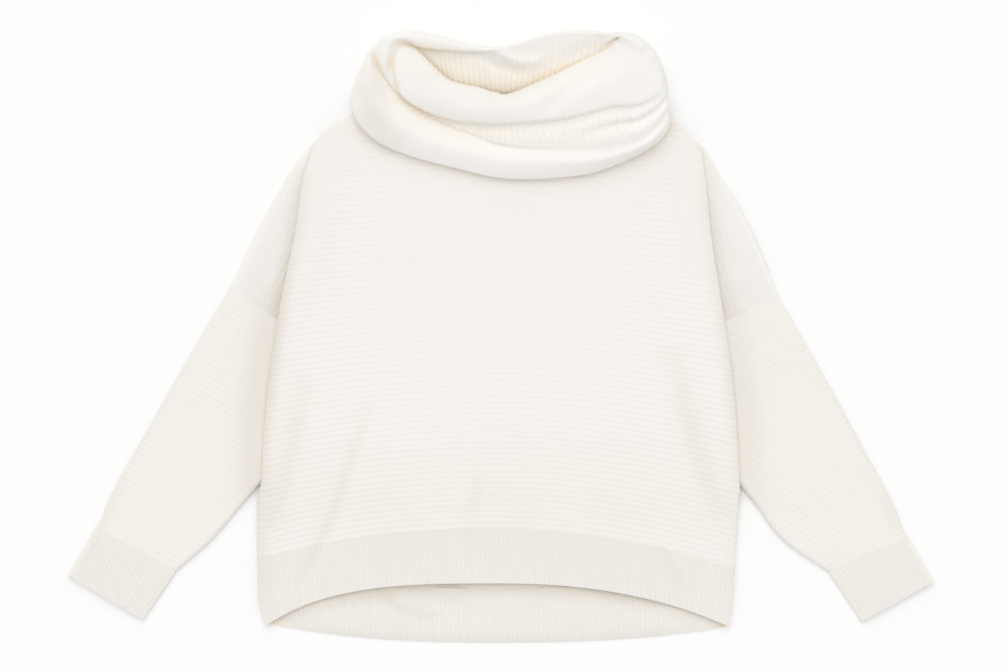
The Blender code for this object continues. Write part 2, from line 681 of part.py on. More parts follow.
def sleeve_edges(plan, t):
    """Outer and inner edge of a sleeve at t, from 0 at the armhole to 1 at the cuff."""
    shift, where = plan["bulge"]
    foot, end = (np.array(p, float) for p in (plan["armhole"][0], plan["cuff_seam"][0]))
    down = (end - foot) / np.linalg.norm(end - foot)
    outward = np.array([plan["side"] * abs(down[1]), abs(down[0])])
    hollow = np.exp(-((t - where) / 0.12) ** 2) - np.exp(-((t - 0.97) / 0.05) ** 2)
    outer = lerp(foot[None, :] + SEAM_GAP * down, end[None, :] - SEAM_GAP * down, t[:, None])
    outer = outer + outward * (0.25 * shift * hollow)[:, None]
    inner = along(plan["inner"], t)
    inner[:, 1] -= SEAM_GAP * (1 - t)
    return outer, inner


def tube(wall, outer_surface, under_rows, inner_surface, keys):
    """Closes a flattened tube: its ribbed top, its flat underside and its plain inside,
    joined round both open ends. keys are the columns of the top and of the inside that
    face each other."""
    top = wall.grid(outer_surface)
    under = wall.grid(under_rows)
    inside = wall.grid(inner_surface, closed=True)
    wall.strip(top[:, 0], under[:, 0])
    wall.strip(top[:, -1], under[:, -1])
    for end in (0, -1):
        for first, second in zip(keys[:-1], keys[1:]):
            wall.strip(top[end, first[0]:second[0] + 1], inside[end, first[1]:second[1] + 1])
        wall.strip((top[end, -1], *under[end][::-1], top[end, 0]),
                   (inside[end, -1], inside[end, 0]))


def make_sleeve(name):
    plan = SLEEVE_PLAN[name]
    wall = Wall()
    t = np.linspace(0, 1, 2 * SLEEVE_RIBS + 1)
    smooth = across_tube(*sleeve_edges(plan, t), tube_section(SLEEVE_TOP))
    facing = normals(smooth)
    facing *= np.sign(facing[len(t) // 2, 3, 2])
    amount = np.array([0.0, 0.6, 1.0, 1.0, 1.0, 0.6, 0.0])
    outer = smooth + facing * (ribs(SLEEVE_RIBS)[:, None] * amount[None, :])[..., None]
    outer[:, (0, -1), 2] = 0.0
    coarse = t[::14]
    under = across_tube(*sleeve_edges(plan, coarse), UNDER_SECTION)
    inside = across_tube(*sleeve_edges(plan, coarse), tube_section(SLEEVE_TOP, WALL))
    tube(wall, outer, under, inside, [(k, k) for k in range(7)])
    wall.make("sleeve_" + name, BODY_CREAM)


def make_cuff(name):
    plan = SLEEVE_PLAN[name]
    wall = Wall()
    corners = [np.array(p, float) for p in (*plan["cuff_seam"], *plan["cuff_end"])]

    def edges(t):
        outer = lerp(corners[0][None, :], corners[2][None, :], t[:, None])
        inner = lerp(corners[1][None, :], corners[3][None, :], t[:, None])
        down = (corners[2] - corners[0]) / np.linalg.norm(corners[2] - corners[0])
        return outer + SEAM_GAP * down, inner + SEAM_GAP * down

    t = np.array([0.0, 0.5, 1.0])
    outer_edge, inner_edge = edges(t)
    ends = across_tube(outer_edge, inner_edge, tube_section(SLEEVE_TOP - 0.6))
    shares = np.concatenate([[0, 1], np.linspace(2, 4, 2 * CUFF_RIBS + 1), [5, 6]])
    smooth = np.stack([catmull_rom(row, shares) for row in ends])
    raised = np.where(np.arange(len(shares)) % 2, 2 * RIB_HEIGHT, 0.0)
    raised[[0, 1, -2, -1]] = 0.0
    outer = smooth + np.array([0, 0, 1.0]) * raised[None, :, None]
    outer[:, (0, -1), 2] = 0.0
    under = across_tube(outer_edge, inner_edge, UNDER_SECTION)
    plain = across_tube(outer_edge, inner_edge,
                        tube_section(SLEEVE_TOP - 0.6, BAND_WALL + RIB_HEIGHT))
    few = np.concatenate([[0, 1], np.linspace(2, 4, 13), [5, 6]])
    inside = np.stack([catmull_rom(row, few) for row in plain[[0, 2]]])
    last = len(shares) - 1
    tube(wall, outer, under[[0, 2]], inside,
         [(0, 0), (1, 1), (2, 2), (last - 2, 14), (last - 1, 15), (last, 16)])
    wall.make("cuff_" + name, BAND_CREAM)


# ---------------------------------------------------------------------------- collar


def collar_base(x, y):
    """Height of what the collar lies on: the surface, or the front panel."""
    return COLLAR_BASE * smoothstep(-14.0, 4.0, shoulder_y(x) - y)


def collar_sections():
    """Every section's points, a row for each section and a column for each ring."""
    plan, height = np.array(COLLAR_PLAN, float), np.array(COLLAR_HEIGHT, float)
    turn = np.radians(plan[:, 0])
    spread = np.stack([np.cos(turn), np.sin(turn)], axis=1)
    middle = np.array(OPENING_CENTRE) + spread * OPENING_RADII
    edge = plan[:, 1:3]
    length = np.linalg.norm(edge - middle, axis=1)
    sections = np.zeros((len(plan), len(COLLAR_RINGS), 3))
    neck = np.array(NECK_CENTRE) + spread * NECK_RADII
    back = smoothstep(0.15, 0.7, np.sin(turn))
    sections[:, 0, :2] = neck
    sections[:, 0, 2] = lerp(COLLAR_SEAM[0], COLLAR_SEAM[1], back)
    for ring in range(1, 9):
        sections[:, ring, :2] = lerp(middle, edge, plan[:, ring + 2:ring + 3])
        sections[:, ring, 2] = height[:, ring - 1]
    sections[:, 9, :2] = edge
    sections[:, 9, 2] = height[:, 8]
    for ring, inset in zip((10, 11), TUCK_IN):
        place = lerp(edge, middle, (inset / length)[:, None])
        sections[:, ring, :2] = place
        sections[:, ring, 2] = collar_base(place[:, 0], place[:, 1])
    return sections


def collar_surface(turns, steps):
    """The collar's outer side at these places round it and along its sections."""
    sections = collar_sections()
    grid = catmull_rom(sections, turns, closed=True)
    grid = np.stack([catmull_rom(column, steps) for column in grid])
    for depth, half_width, points in COLLAR_FOLDS:
        share = fold_share(points, half_width, grid[..., 0], grid[..., 1])
        on_top = smoothstep(0.5, 2.0, steps) * (1 - smoothstep(8.5, 9.5, steps))
        grid[..., 2] -= depth * share * on_top[None, :]
    floor = collar_base(grid[..., 0], grid[..., 1])
    low = (steps > 9)[None, :] & (grid[..., 2] < floor)
    grid[..., 2] = np.where(low, floor, grid[..., 2])
    return grid.transpose(1, 0, 2)


def even_turns(count):
    """Places round the collar, in sections, with even spaces between them."""
    fine = np.linspace(0, len(COLLAR_PLAN), 961)
    rings = catmull_rom(collar_sections(), fine, closed=True)
    length = np.zeros(960)
    for ring in (2, 5, 8):
        length += np.linalg.norm(np.diff(rings[:, ring], axis=0), axis=1)
    reach = np.concatenate([[0], np.cumsum(length)])
    return np.interp(np.arange(count) * reach[-1] / count, reach, fine)


def make_collar():
    """The collar: one wall from the neckline up round the opening, over its rolls and
    creases, and under at its edge."""
    wall = Wall()
    steps = np.array([0, 1, 2, 2.5, 3, 3.6, 4, 5, 6, 7, 8, 8.5, 9, 9.5, 10, 11])
    turns = even_turns(2 * COLLAR_RIBS)
    smooth = collar_surface(turns, steps)
    facing = normals(smooth, closed=True)
    facing *= np.sign(facing[10, 0, 2])
    amount = np.array([0, 1, 1, 1, 1, 1, 1, 1, 1, 1, 1, 1, 0.8, 0.3, 0, 0])
    space = np.linalg.norm(np.roll(smooth, -1, axis=1) - np.roll(smooth, 1, axis=1), axis=2)
    raised = RIB_HEIGHT * np.where(np.arange(len(turns)) % 2, 1.0, -1.0)
    raised = raised * np.clip(space / COLLAR_RIB, 0, 1) ** 2
    outer = smooth + facing * (amount[:, None] * raised)[..., None]
    plain_steps = np.array([0, 1, 2, 2.5, 3, 4, 5, 6, 7, 8, 9, 10, 11])
    plain = collar_surface(even_turns(40), plain_steps)
    facing = normals(plain, closed=True)
    facing *= np.sign(facing[9, 0, 2])
    inner = plain - COLLAR_WALL * facing
    outer_ids, inner_ids = wall.grid(outer, closed=True), wall.grid(inner, closed=True)
    wall.strip(outer_ids[0], inner_ids[0], closed=True)
    wall.strip(outer_ids[-1], inner_ids[-1], closed=True)
    wall.make("collar", COLLAR_CREAM)


def main():
    for obj in list(bpy.data.objects):
        bpy.data.objects.remove(obj)
    make_back()
    make_back_band()
    make_front()
    make_front_band()
    for name in ("left", "right"):
        make_sleeve(name)
        make_cuff(name)
    make_collar()


main()
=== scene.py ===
"""An oversized rib-knit pullover with a large cowl collar, laid flat on its back.

Each piece is a closed thin wall of knit that follows its solid. Ribs, folds and creases
are in its points, and stitches and fuzz in its material. Two amounts of painted shade are
kept at the points for the materials: one by how deep a place lies between folds, the other
beside folds and edges. Lengths are in millimetres until a mesh is made, x to the right,
y towards the neck and z up.
"""

import bmesh
import bpy
import numpy as np
from mathutils.bvhtree import BVHTree
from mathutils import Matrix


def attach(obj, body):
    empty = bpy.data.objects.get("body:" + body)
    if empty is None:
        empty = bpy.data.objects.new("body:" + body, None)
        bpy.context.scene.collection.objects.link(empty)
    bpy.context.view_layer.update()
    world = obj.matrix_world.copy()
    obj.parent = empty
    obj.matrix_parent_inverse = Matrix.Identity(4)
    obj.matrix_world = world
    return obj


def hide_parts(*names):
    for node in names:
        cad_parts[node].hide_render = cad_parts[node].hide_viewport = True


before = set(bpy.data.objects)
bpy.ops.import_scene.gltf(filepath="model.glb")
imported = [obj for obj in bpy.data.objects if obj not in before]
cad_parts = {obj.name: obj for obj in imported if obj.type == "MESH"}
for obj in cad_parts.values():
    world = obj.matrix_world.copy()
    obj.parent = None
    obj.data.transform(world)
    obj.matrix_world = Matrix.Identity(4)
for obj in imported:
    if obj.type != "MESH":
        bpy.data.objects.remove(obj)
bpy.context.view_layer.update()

MM = 0.001

# ---------------------------------------------------------------- driving dimensions
WALL = 2.2                # thickness of the body and sleeve knit
BAND_WALL = 1.6           # plain thickness of the hem bands and cuffs
COLLAR_WALL = 2.2
INSIDE_REACH = WALL + 0.4     # how much further in the inner side of a tuck reaches
SEAM_GAP = 0.03           # how far a piece stays off the line of a seam
CENTRING = (0.5, -1.6)    # moves every piece, so that the origin is mid-footprint

BODY_RIBS = 71            # courses of ribs from the neckline down to the hem band
SLEEVE_RIBS = 49
BAND_RIBS = 105
CUFF_RIBS = 19
COLLAR_RIBS = 104
BODY_RIB = 6.8            # pitch of each piece's ribs on its stitch map
SLEEVE_RIB = 6.7          # also on the dropped shoulders
BAND_RIB = 5.4
COLLAR_RIB = 7.0          # under this pitch the collar's ribs flatten where they crowd
RIB_HEIGHT = 0.36         # how far a crest stands out, and a groove lies in
BODY_SHARES = (0.3, 0.95) # share of that at the body's middle, and low down or aside
WING_SHARE = 0.6
SLEEVE_SHARE = 0.5
RIB_POINTS = 8            # points across one rib
COLLAR_POINTS = 6         # and across one of the collar's

BACK_TOP = 2.2            # upper side of the back panel
PANEL_TOP = 8.0           # upper side of the front panel over the body
EDGE_TOP = PANEL_TOP + 0.6    # and near its side edges, below the underarm
EDGE_BELOW = 2.7          # underside of those edges
FOLD_TOP = 13.0           # upper side of the front where it lies over a sleeve
SHOULDER_FOLD_TOP = 8.4   # and where that fold runs out at the shoulder
FOLD_BELOW = 7.8          # underside of that fold
FOLD_RETURN = 8.0         # how far that fold turns back under itself
TUCK = 10.0               # how far a sleeve and a shoulder reach in under the fold
TUCK_ENDS = (190.0, 232.0)    # y between which that tuck narrows towards the shoulder
TUCK_NARROW = 0.4         # how much of it is left there
SLEEVE_TOP = 7.0
CUFF_TOP = SLEEVE_TOP - 0.6   # under its ribs
SHOULDER_EDGE = 5.0       # upper side of the front along its shoulder seams
UNDERARM = (-183.0, -203.0)   # where the fold over the sleeve turns into the side edge
UNDERARM_ROWS = (-174.0, -183.0, -190.0, -197.0, -206.0)   # rows of the inside round it
SHOULDER_ROUND = 12.0     # how far down from those seams the front rounds up
SHOULDER_TIP = (180.0, 216.0)     # way out from the neck over which that rounding stops
FOLD_SINKS = (110.0, 215.0)   # y over which the fold sinks to SHOULDER_FOLD_TOP
WING_DROP = 1.8           # how much lower the dropped shoulder's tip lies
WING_SINKS = (120.0, 205.0)   # y over which it does
WING_BOW = 5.0            # how far the dropped shoulder's outer edge bows out
SLEEVE_BOW = 3.0
WING_ENDS = 24.0          # y where the fold leaves the dropped shoulder
EDGE_WRAP = 7.4           # way round the fold's outer edge, to its underside
FRONT_BAND_FLAT = 562.0   # width of the front band between its rounded edges
BACK_BAND_LOFT = 3.4      # how far the lower part of the back band is lofted
BAND_DEPTH = 65.0         # from a band's seam to its hem, on the stitch map
CUFF_DEPTH = 66.0

NECK_CENTRE = (7.0, 268.0)
NECK_RADII = (112.0, 15.0)

# The front's side edges: the fold over each sleeve down to y = -174, and the side below.
BODY_EDGE = (
    # y, left x, right x
    (232, -226, 240),
    (186, -239, 246),
    (123, -248, 252),
    (51, -263, 263),
    (-27, -276, 275),
    (-100, -284, 282),
    (-174, -288, 286),
    (-203, -293, 285),
    (-268, -293, 281),
    (-316, -291, 278),
    (-350, -284, 274),
)
SHOULDER_LINE = (
    # distance left of the middle, distance right of it, y
    (236, 247, 224),
    (219, 230, 242),
    (197, 212, 260),
    (180, 204, 268),
    (119, 133, 283),
    (104, 118, 268),
    (60, 74, 259),
    (-7, 7, 256),
)
SLEEVE_PLAN = {
    "left": dict(
        side=-1,
        shoulder=((-236, 224), (-262, 186), (-300, 115), (-324, 62)),
        armhole=((-324, 62), (-263, 16)),
        inner=((-263, 16), (-267, -27), (-273, -100), (-276, -150), (-279, -166),
               (-293, -181), (-310, -200), (-348, -244), (-390, -281)),
        cuff_seam=((-488, -230), (-390, -281)),
        cuff_end=((-521, -286), (-430, -340)),
        bulge=(2.0, 0.80),    # how far its outer edge swells, and where
    ),
    "right": dict(
        side=1,
        shoulder=((247, 224), (268, 186), (301, 115), (333, 49)),
        armhole=((333, 49), (263, 16)),
        inner=((263, 16), (266, -27), (272, -100), (275, -150), (277, -164),
               (288, -180), (306, -202), (338, -244), (393, -282)),
        cuff_seam=((489, -240), (393, -282)),
        cuff_end=((520, -294), (433, -342)),
        bulge=(2.0, 0.82),
    ),
}
ARCHES = dict(
    # middle y, left drop, left power, right drop, right power
    band_seam=(-231, 35, 2.2, 47, 1.85),
    front_hem=(-296, 50, 3.2, 51, 2.3),
    back_seam=(-303, -36, 2.2, -28, 1.85),
    back_hem=(-367, -23, 2.5, -19, 2.5),
)
BODY_CREASES = (
    # depth, half width, amount and half width of the painted shade beside it, points
    (2.0, 12, 0.26, 13, ((-233, -45), (-242, -88), (-256, -148), (-268, -208), (-276, -240))),
    (2.6, 9, 0.28, 7, ((-157, -72), (-164, -100), (-185, -160), (-202, -214), (-224, -262),
                       (-250, -308))),
    (1.2, 9, 0.14, 8, ((-26, -150), (-35, -240))),
    (2.4, 15, 0.32, 15, ((200, -10), (214, -52), (226, -100), (235, -136), (250, -178),
                         (266, -225))),
    (1.6, 8, 0.20, 8, ((186, -250), (222, -308))),
)
BODY_RIDGES = (
    # height, half width, points
    (1.4, 12, ((-200, -60), (-236, -230))),
    (1.2, 10, ((-2, -150), (-6, -270))),
    (1.2, 13, ((196, -60), (226, -240))),
)
BACK_BAND_FOLDS = (
    # height, half width, points
    (3.6, 9, ((-80, -297), (-65, -306), (-40, -300))),
    (-1.6, 12, ((-92, -300), (-70, -325), (-45, -330))),
    (1.2, 10, ((20, -300), (60, -306), (110, -303))),
)
SLEEVE_FOLDS = {
    # depth, half width, points
    "left": (
        (1.2, 10, ((-451, -172), (-491, -248), (-500, -268))),
        (0.8, 22, ((-285, 20), (-290, -60), (-296, -170))),
        (0.8, 12, ((-300, -190), (-345, -215), (-380, -225))),
    ),
    "right": (
        (1.2, 10, ((456, -186), (476, -238), (490, -260))),
        (0.8, 22, ((285, 20), (289, -60), (294, -170))),
        (0.8, 12, ((300, -190), (345, -215), (380, -225))),
    ),
}
# The collar's cross sections go round it from the front. Each runs up the inside of the
# neck from its seam, over the rim and the top, and down the outside to its tucked edge.
COLLAR_SECTIONS = (
    # place on the neck seam in degrees, then wall, rim, top, brow, under, band, tongue,
    # lobe, fold, roll and edge, each x, y, z
    (270, (7, 286.5, 21), (11.5, 288.5, 33), (5.5, 272.5, 46), (4.5, 255.5, 40), (4, 253, 30.5),
     (4.5, 244.5, 31.5), (5, 237.5, 32), (5.5, 230, 30.5), (7, 225.5, 27), (7, 209.5, 32),
     (9.5, 189, 18)),
    (300, (59.5, 305.5, 22), (57, 307.5, 34), (62.5, 289.5, 47), (71, 262.5, 41),
     (73.5, 258.5, 32), (78.5, 247, 33), (82, 237.5, 33), (85.5, 227.5, 31), (89, 220.5, 28.5),
     (94, 208, 33), (100, 194, 18)),
    (325, (106, 326.5, 24), (102, 329, 36), (112.5, 307, 50), (127, 276.5, 44), (130.5, 272, 37),
     (132.5, 258, 37.5), (132, 251, 32.5), (136.5, 240, 37), (143, 225.5, 30), (150, 219, 32.5),
     (159, 215, 18)),
    (342, (127.5, 337, 25), (123.5, 340, 38), (140.5, 321, 52.5), (160, 281, 47),
     (163, 274.5, 40.5), (165, 263.5, 41), (166.5, 258, 35), (170.5, 249, 39), (175, 239.5, 32),
     (181, 234.5, 34), (189, 234, 18)),
    (355, (137, 346, 26), (133, 347, 39), (159.5, 323, 53), (182.5, 295, 48), (188.5, 286, 42),
     (191.5, 282.5, 40.5), (193.5, 278.5, 36), (196.5, 272.5, 36.5), (195.5, 263.5, 31),
     (199, 257.5, 30), (202, 253.5, 17)),
    (5, (142, 351, 30), (137.5, 351.5, 40), (165.5, 334, 53), (187, 315.5, 48), (193, 306.5, 42),
     (195, 301, 37), (196, 295.5, 33), (197, 287, 29), (198, 279, 25), (199.5, 272, 22),
     (201, 267, 15)),
    (18, (143, 353, 34), (139.5, 353.5, 41), (157.5, 345.5, 50), (173, 341.5, 45.5),
     (180.5, 338.5, 39), (184.5, 336, 34), (187, 333.5, 29), (189.5, 330.5, 25), (192, 326.5, 21),
     (193.5, 323, 18), (195, 318.5, 12)),
    (30, (133.5, 351.5, 37), (138, 355.5, 41.5), (144.5, 357, 45), (150.5, 358.5, 43),
     (154.5, 360, 39), (157, 360.5, 35), (159.5, 360.5, 30), (162, 360.5, 25), (164.5, 359.5, 20),
     (167.5, 358.5, 15), (170, 357.5, 10)),
    (42, (118, 340, 32), (119, 347.5, 36), (120, 354.5, 39), (121, 357.5, 41),
     (121.5, 358.5, 41.5), (121.5, 360, 41), (122, 361, 38), (122.5, 362, 33), (122.5, 363, 27),
     (123, 364, 20), (123.5, 365, 9)),
    (55, (86, 316, 24), (93, 339.5, 32.5), (94, 351, 37.5), (93.5, 359, 39.5), (95, 361, 39.5),
     (95.5, 362.5, 38.5), (96, 363.5, 35), (96.5, 364.5, 30), (96.5, 365.5, 24), (96.5, 366.5, 17),
     (97, 367.5, 8)),
    (72, (50, 300, 19), (53.5, 328.5, 27), (54.5, 346.5, 33), (54.5, 355.5, 35.5),
     (55.5, 357.5, 36), (56.5, 359, 35), (57, 360, 32), (57, 360.5, 27), (57, 361.5, 22),
     (57, 362, 15), (57.5, 363, 7)),
    (90, (3, 292, 17), (3.5, 319, 24.5), (3.5, 335, 30), (3.5, 341, 32), (3.5, 343, 32.5),
     (3.5, 344, 31.5), (3.5, 345, 28.5), (3.5, 346, 24), (3.5, 346.5, 19), (3.5, 347.5, 13),
     (3.5, 348, 7)),
    (105, (-27, 297, 18), (-29.5, 322.5, 24), (-30, 335.5, 27), (-30, 338, 28.5), (-30.5, 340, 34),
     (-32.5, 342.5, 35), (-33.5, 345.5, 34), (-34.5, 347.5, 29), (-35, 348.5, 23),
     (-35, 349.5, 15), (-35, 350.5, 7)),
    (120, (-57, 303, 18.5), (-62, 328.5, 24.5), (-62.5, 337, 27), (-62.5, 340, 28.5),
     (-63.5, 341.5, 34.5), (-65.5, 347.5, 38), (-66.5, 353, 37), (-67, 355.5, 31), (-67, 357, 25),
     (-68, 358.5, 16), (-68, 360, 7)),
    (135, (-82, 320, 20), (-91, 337.5, 25.5), (-93.5, 342, 27.5), (-94.5, 343.5, 29),
     (-96.5, 345.5, 35), (-101.5, 353, 40), (-103, 359.5, 39), (-104.5, 362.5, 33),
     (-105.5, 364.5, 26), (-106, 365.5, 17), (-106.5, 367, 7)),
    (150, (-100.5, 341, 25), (-106.5, 345.5, 31), (-109.5, 346.5, 33), (-111.5, 348, 31.5),
     (-114, 350.5, 31), (-122.5, 354.5, 41), (-129.5, 357, 38), (-132, 358.5, 32),
     (-133.5, 359, 26), (-134.5, 360, 17), (-135.5, 361, 8)),
    (162, (-98, 334, 23), (-94.5, 335.5, 36), (-105, 336, 43), (-120.5, 341, 40),
     (-124.5, 343, 32), (-133.5, 346, 39), (-142, 347.5, 35), (-146, 347.5, 30), (-150, 344, 26),
     (-153, 345, 24), (-155, 345, 15)),
    (175, (-83, 317, 22), (-79, 319, 38), (-96.5, 319, 46), (-125, 324, 41), (-129, 326.5, 28.5),
     (-138, 329.5, 37), (-145.5, 330.5, 32.5), (-148.5, 330, 29), (-150.5, 329.5, 26),
     (-156.5, 329.5, 35), (-163.5, 331, 19)),
    (190, (-68, 303.5, 21), (-64.5, 306, 38.5), (-87, 302.5, 47), (-120.5, 301.5, 42),
     (-128.5, 305, 29), (-135.5, 308, 30.5), (-137.5, 308.5, 29), (-139, 309, 28.5),
     (-140, 309.5, 28), (-158.5, 305.5, 41), (-176.5, 301, 21)),
    (205, (-51, 297.5, 21), (-49, 300, 38), (-72.5, 287, 47), (-112, 283.5, 42), (-116, 285, 29.5),
     (-119.5, 286.5, 30), (-121, 287.5, 28.5), (-122, 288, 28), (-123.5, 288.5, 27.5),
     (-151, 275.5, 41.5), (-177, 267.5, 21)),
    (225, (-32.5, 294, 21), (-31, 296, 37), (-52.5, 276, 46.5), (-84.5, 268, 41),
     (-88, 267.5, 29.5), (-91, 267, 29.5), (-92, 267, 28.5), (-93.5, 267, 28), (-94.5, 267, 27.5),
     (-122.5, 249.5, 39.5), (-155.5, 239, 21)),
    (242, (-17, 289.5, 21), (-17, 291.5, 35), (-31, 272.5, 46), (-52.5, 259, 40), (-56.5, 258, 30),
     (-60.5, 256, 29), (-62.5, 254, 28.5), (-64, 252.5, 28), (-66, 252, 27.5), (-92, 234, 36),
     (-117.5, 219.5, 20)),
    (257, (-6.5, 287.5, 21), (-8.5, 290.5, 34), (-13.5, 272, 46), (-24, 256.5, 40),
     (-27, 253.5, 29.5), (-29.5, 249, 29), (-31.5, 245.5, 29), (-33.5, 242, 28),
     (-36, 239.5, 26.5), (-46.5, 222.5, 33.5), (-59, 203, 19)),
)
TUCK_IN = (6.0, 16.0)     # how far in from its edge the last two rings lie, underneath
COLLAR_SEAM = (9.6, 5.4)  # height of the collar's seam at the front and at the back
COLLAR_BASE = 9.6         # height of what the collar lies on in front
COLLAR_STEPS = (
    # first ring, last ring, rows of points
    (0, 1, 8), (1, 2, 14), (2, 3, 16), (3, 4, 16), (4, 5, 12), (5, 9, 36), (9, 10, 14),
    (10, 11, 14), (11, 12, 8), (12, 13, 3))
COLLAR_RIB_SHARE = (
    # ring, share of the rib height at the front, share at the back
    (0, 0, 0), (1, 0.7, 1.3), (2, 0.35, 1.3), (3, 0.2, 1.2), (4, 0.4, 0.7), (5, 1.1, 0.35),
    (6, 1.3, 0.25), (8, 1.1, 0.25), (9, 0.5, 0.25), (10, 0.2, 0.2), (11, 0.2, 0.2), (12, 0, 0),
    (13, 0, 0))
COLLAR_BACK = ((7, 0), (8.5, 1), (14, 1), (15, 0))   # section, how much it is of the back
COLLAR_FOLDS = (
    # depth, half width, points
    (3.5, 7.0, ((149, 326), (121, 313), (94, 302), (67, 283), (41, 262))),
    (-5.2, 6.0, ((-24, 353), (-10, 343), (6, 334), (20, 328), (36, 327), (54, 333))),
    (3.0, 6.0, ((-40, 338), (-20, 331), (-2, 322), (16, 316), (34, 315))),
    (4.0, 4.0, ((170, 345), (176, 336))),
    (3.0, 22.0, ((-152, 300), (-148, 262), (-128, 238))),
)

# Painted shade beside folds and edges, for every piece under them.
PAINTED_FOLD_SHADE_LINES = (
    # amount, half width, points
    (0.15, 8.0, ((-241, 200), (-254, 130), (-271, 50), (-284, -20))),
    (0.12, 8.0, ((251, 200), (260, 130), (271, 50), (284, -20))),
    (0.50, 18.0, ((-280, 70), (-290, -27), (-300, -100), (-303, -215))),
    (0.38, 16.0, ((278, 70), (287, -27), (297, -100), (299, -215))),
    (0.35, 15.0, ((-288, -150), (-291, -230), (-289, -345))),
    (0.18, 12.0, ((285, -180), (283, -250), (276, -345))),
    (0.38, 24.0, ((-150, 330), (-156, 290), (-148, 255), (-120, 225))),
    (0.45, 6.0, ((-152, -302), (-138, -314), (-120, -328), (-96, -333), (-70, -334))),
    # Painted shade over the lower part of the garment.
    (0.20, 75.0, ((-340, -205), (340, -205))),
    (0.16, 9.0, ((-448, -165), (-470, -205), (-491, -248), (-500, -270))),
    (0.16, 9.0, ((452, -175), (466, -212), (478, -244))),
)

# Painted shade on single pieces: which of the two painted shades, then its places in the same
# columns.
# Painted shadow of the front hem on the back and its band.
PAINTED_SHADOW_UNDER_HEM = (
    (0.95, 9, ((-270, -346), (-230, -324), (-200, -316), (-114, -303), (0, -300), (114, -306),
               (200, -323), (240, -335), (270, -350))),
)
OWN_PAINTED_SHADES = {
    "front_panel_knit": ("painted_fold_shade", (
        (0.60, 11, ((-234, 205), (-248, 123), (-263, 51), (-276, -27), (-284, -100),
                    (-290, -190))),
        (0.42, 11, ((242, 205), (252, 123), (263, 51), (275, -27), (282, -100), (285, -190))),
    )),
    "back_panel_knit": ("painted_fold_shade", PAINTED_SHADOW_UNDER_HEM),
    "hem_band_back_knit": ("painted_fold_shade", PAINTED_SHADOW_UNDER_HEM),
    # Painted warm shade along two lines over the collar.
    "collar_knit": ("hollow_shade", (
        (0.45, 20, ((-120, 340), (-60, 322), (0, 305), (60, 318), (130, 345))),
        (0.32, 12, ((-112, 276), (-70, 252), (-30, 241), (40, 238), (100, 240), (150, 250))),
    )),
}

# ------------------------------------------------------------------------- arithmetic


def lerp(a, b, t):
    return a + (b - a) * t


def distances(points):
    """How far each point of a run is from its first one, along the run."""
    steps = np.linalg.norm(np.diff(points, axis=0), axis=1)
    return np.concatenate([[0], np.cumsum(steps)])


def grid_of(across, down):
    """The pair of these for each place of a grid, as a map of the stitches has it."""
    return np.stack(np.broadcast_arrays(across, down), axis=-1)


def smoothstep(low, high, value):
    t = np.clip((value - low) / (high - low), 0.0, 1.0)
    return t * t * (3 - 2 * t)


def rib_profile(phase):
    """Height of a rib, from -1 in its groove (whole numbers) to 1 along its crest."""
    away = np.abs(phase - np.round(phase))
    return 0.4 + 0.6 * (1 - (1 - 2 * away) ** 2) - 1.4 * np.exp(-(away / 0.15) ** 2)


def arch(name, u):
    middle, left_drop, left_power, right_drop, right_power = ARCHES[name]
    u = np.asarray(u, float)
    left = left_drop * np.abs(u) ** left_power
    right = right_drop * np.abs(u) ** right_power
    return middle - np.where(u < 0, left, right)


def band_seam(flat):
    return arch("band_seam", 2 * np.asarray(flat) - 1)


def smooth_rows(table, y):
    """Columns of a table read smoothly at y, its rows running down from the largest y."""
    rows = np.array(table, float)
    t = np.interp(y, rows[::-1, 0], np.arange(len(rows))[::-1])
    found = catmull_rom(rows[:, 1:], np.ravel(t))
    return [column.reshape(np.shape(t)) for column in found.T]


def body_edges(y):
    """Left and right x of the front at a height y."""
    return smooth_rows(BODY_EDGE, np.asarray(y, float))


def tuck_share(y):
    return lerp(1.0, TUCK_NARROW, smoothstep(*TUCK_ENDS, y))


def wing_drop(y):
    """How much lower the dropped shoulder lies towards its tip."""
    return WING_DROP * smoothstep(*WING_SINKS, y)


def shoulder_y(x):
    rows = np.array(SHOULDER_LINE, float)
    left = np.interp(-x, rows[::-1, 0], rows[::-1, 2])
    right = np.interp(x, rows[::-1, 1], rows[::-1, 2])
    return np.where(x < NECK_CENTRE[0], left, right)


def catmull_rom(points, t, closed=False):
    """Points of a smooth curve through these (a row each), at t counted in rows."""
    points = np.asarray(points, float)
    count = len(points)
    t = np.asarray(t, float)
    if closed:
        base = np.floor(t).astype(int)
        near = [points[(base + k) % count] for k in (-1, 0, 1, 2)]
    else:
        base = np.clip(np.floor(t).astype(int), 0, count - 2)
        near = [points[np.clip(base + k, 0, count - 1)] for k in (-1, 0, 1, 2)]
    f = (t - base).reshape(-1, *([1] * (points.ndim - 1)))
    before, start, end, after = near
    return 0.5 * (
        2 * start + (end - before) * f
        + (2 * before - 5 * start + 4 * end - after) * f ** 2
        + (3 * start - before - 3 * end + after) * f ** 3
    )


def along(points, t):
    """Points at these shares of the length of a smooth line through points."""
    fine = catmull_rom(points, np.linspace(0, len(points) - 1, 40 * len(points)))
    reach = distances(fine)
    return np.stack([np.interp(t, reach / reach[-1], column) for column in fine.T], axis=-1)


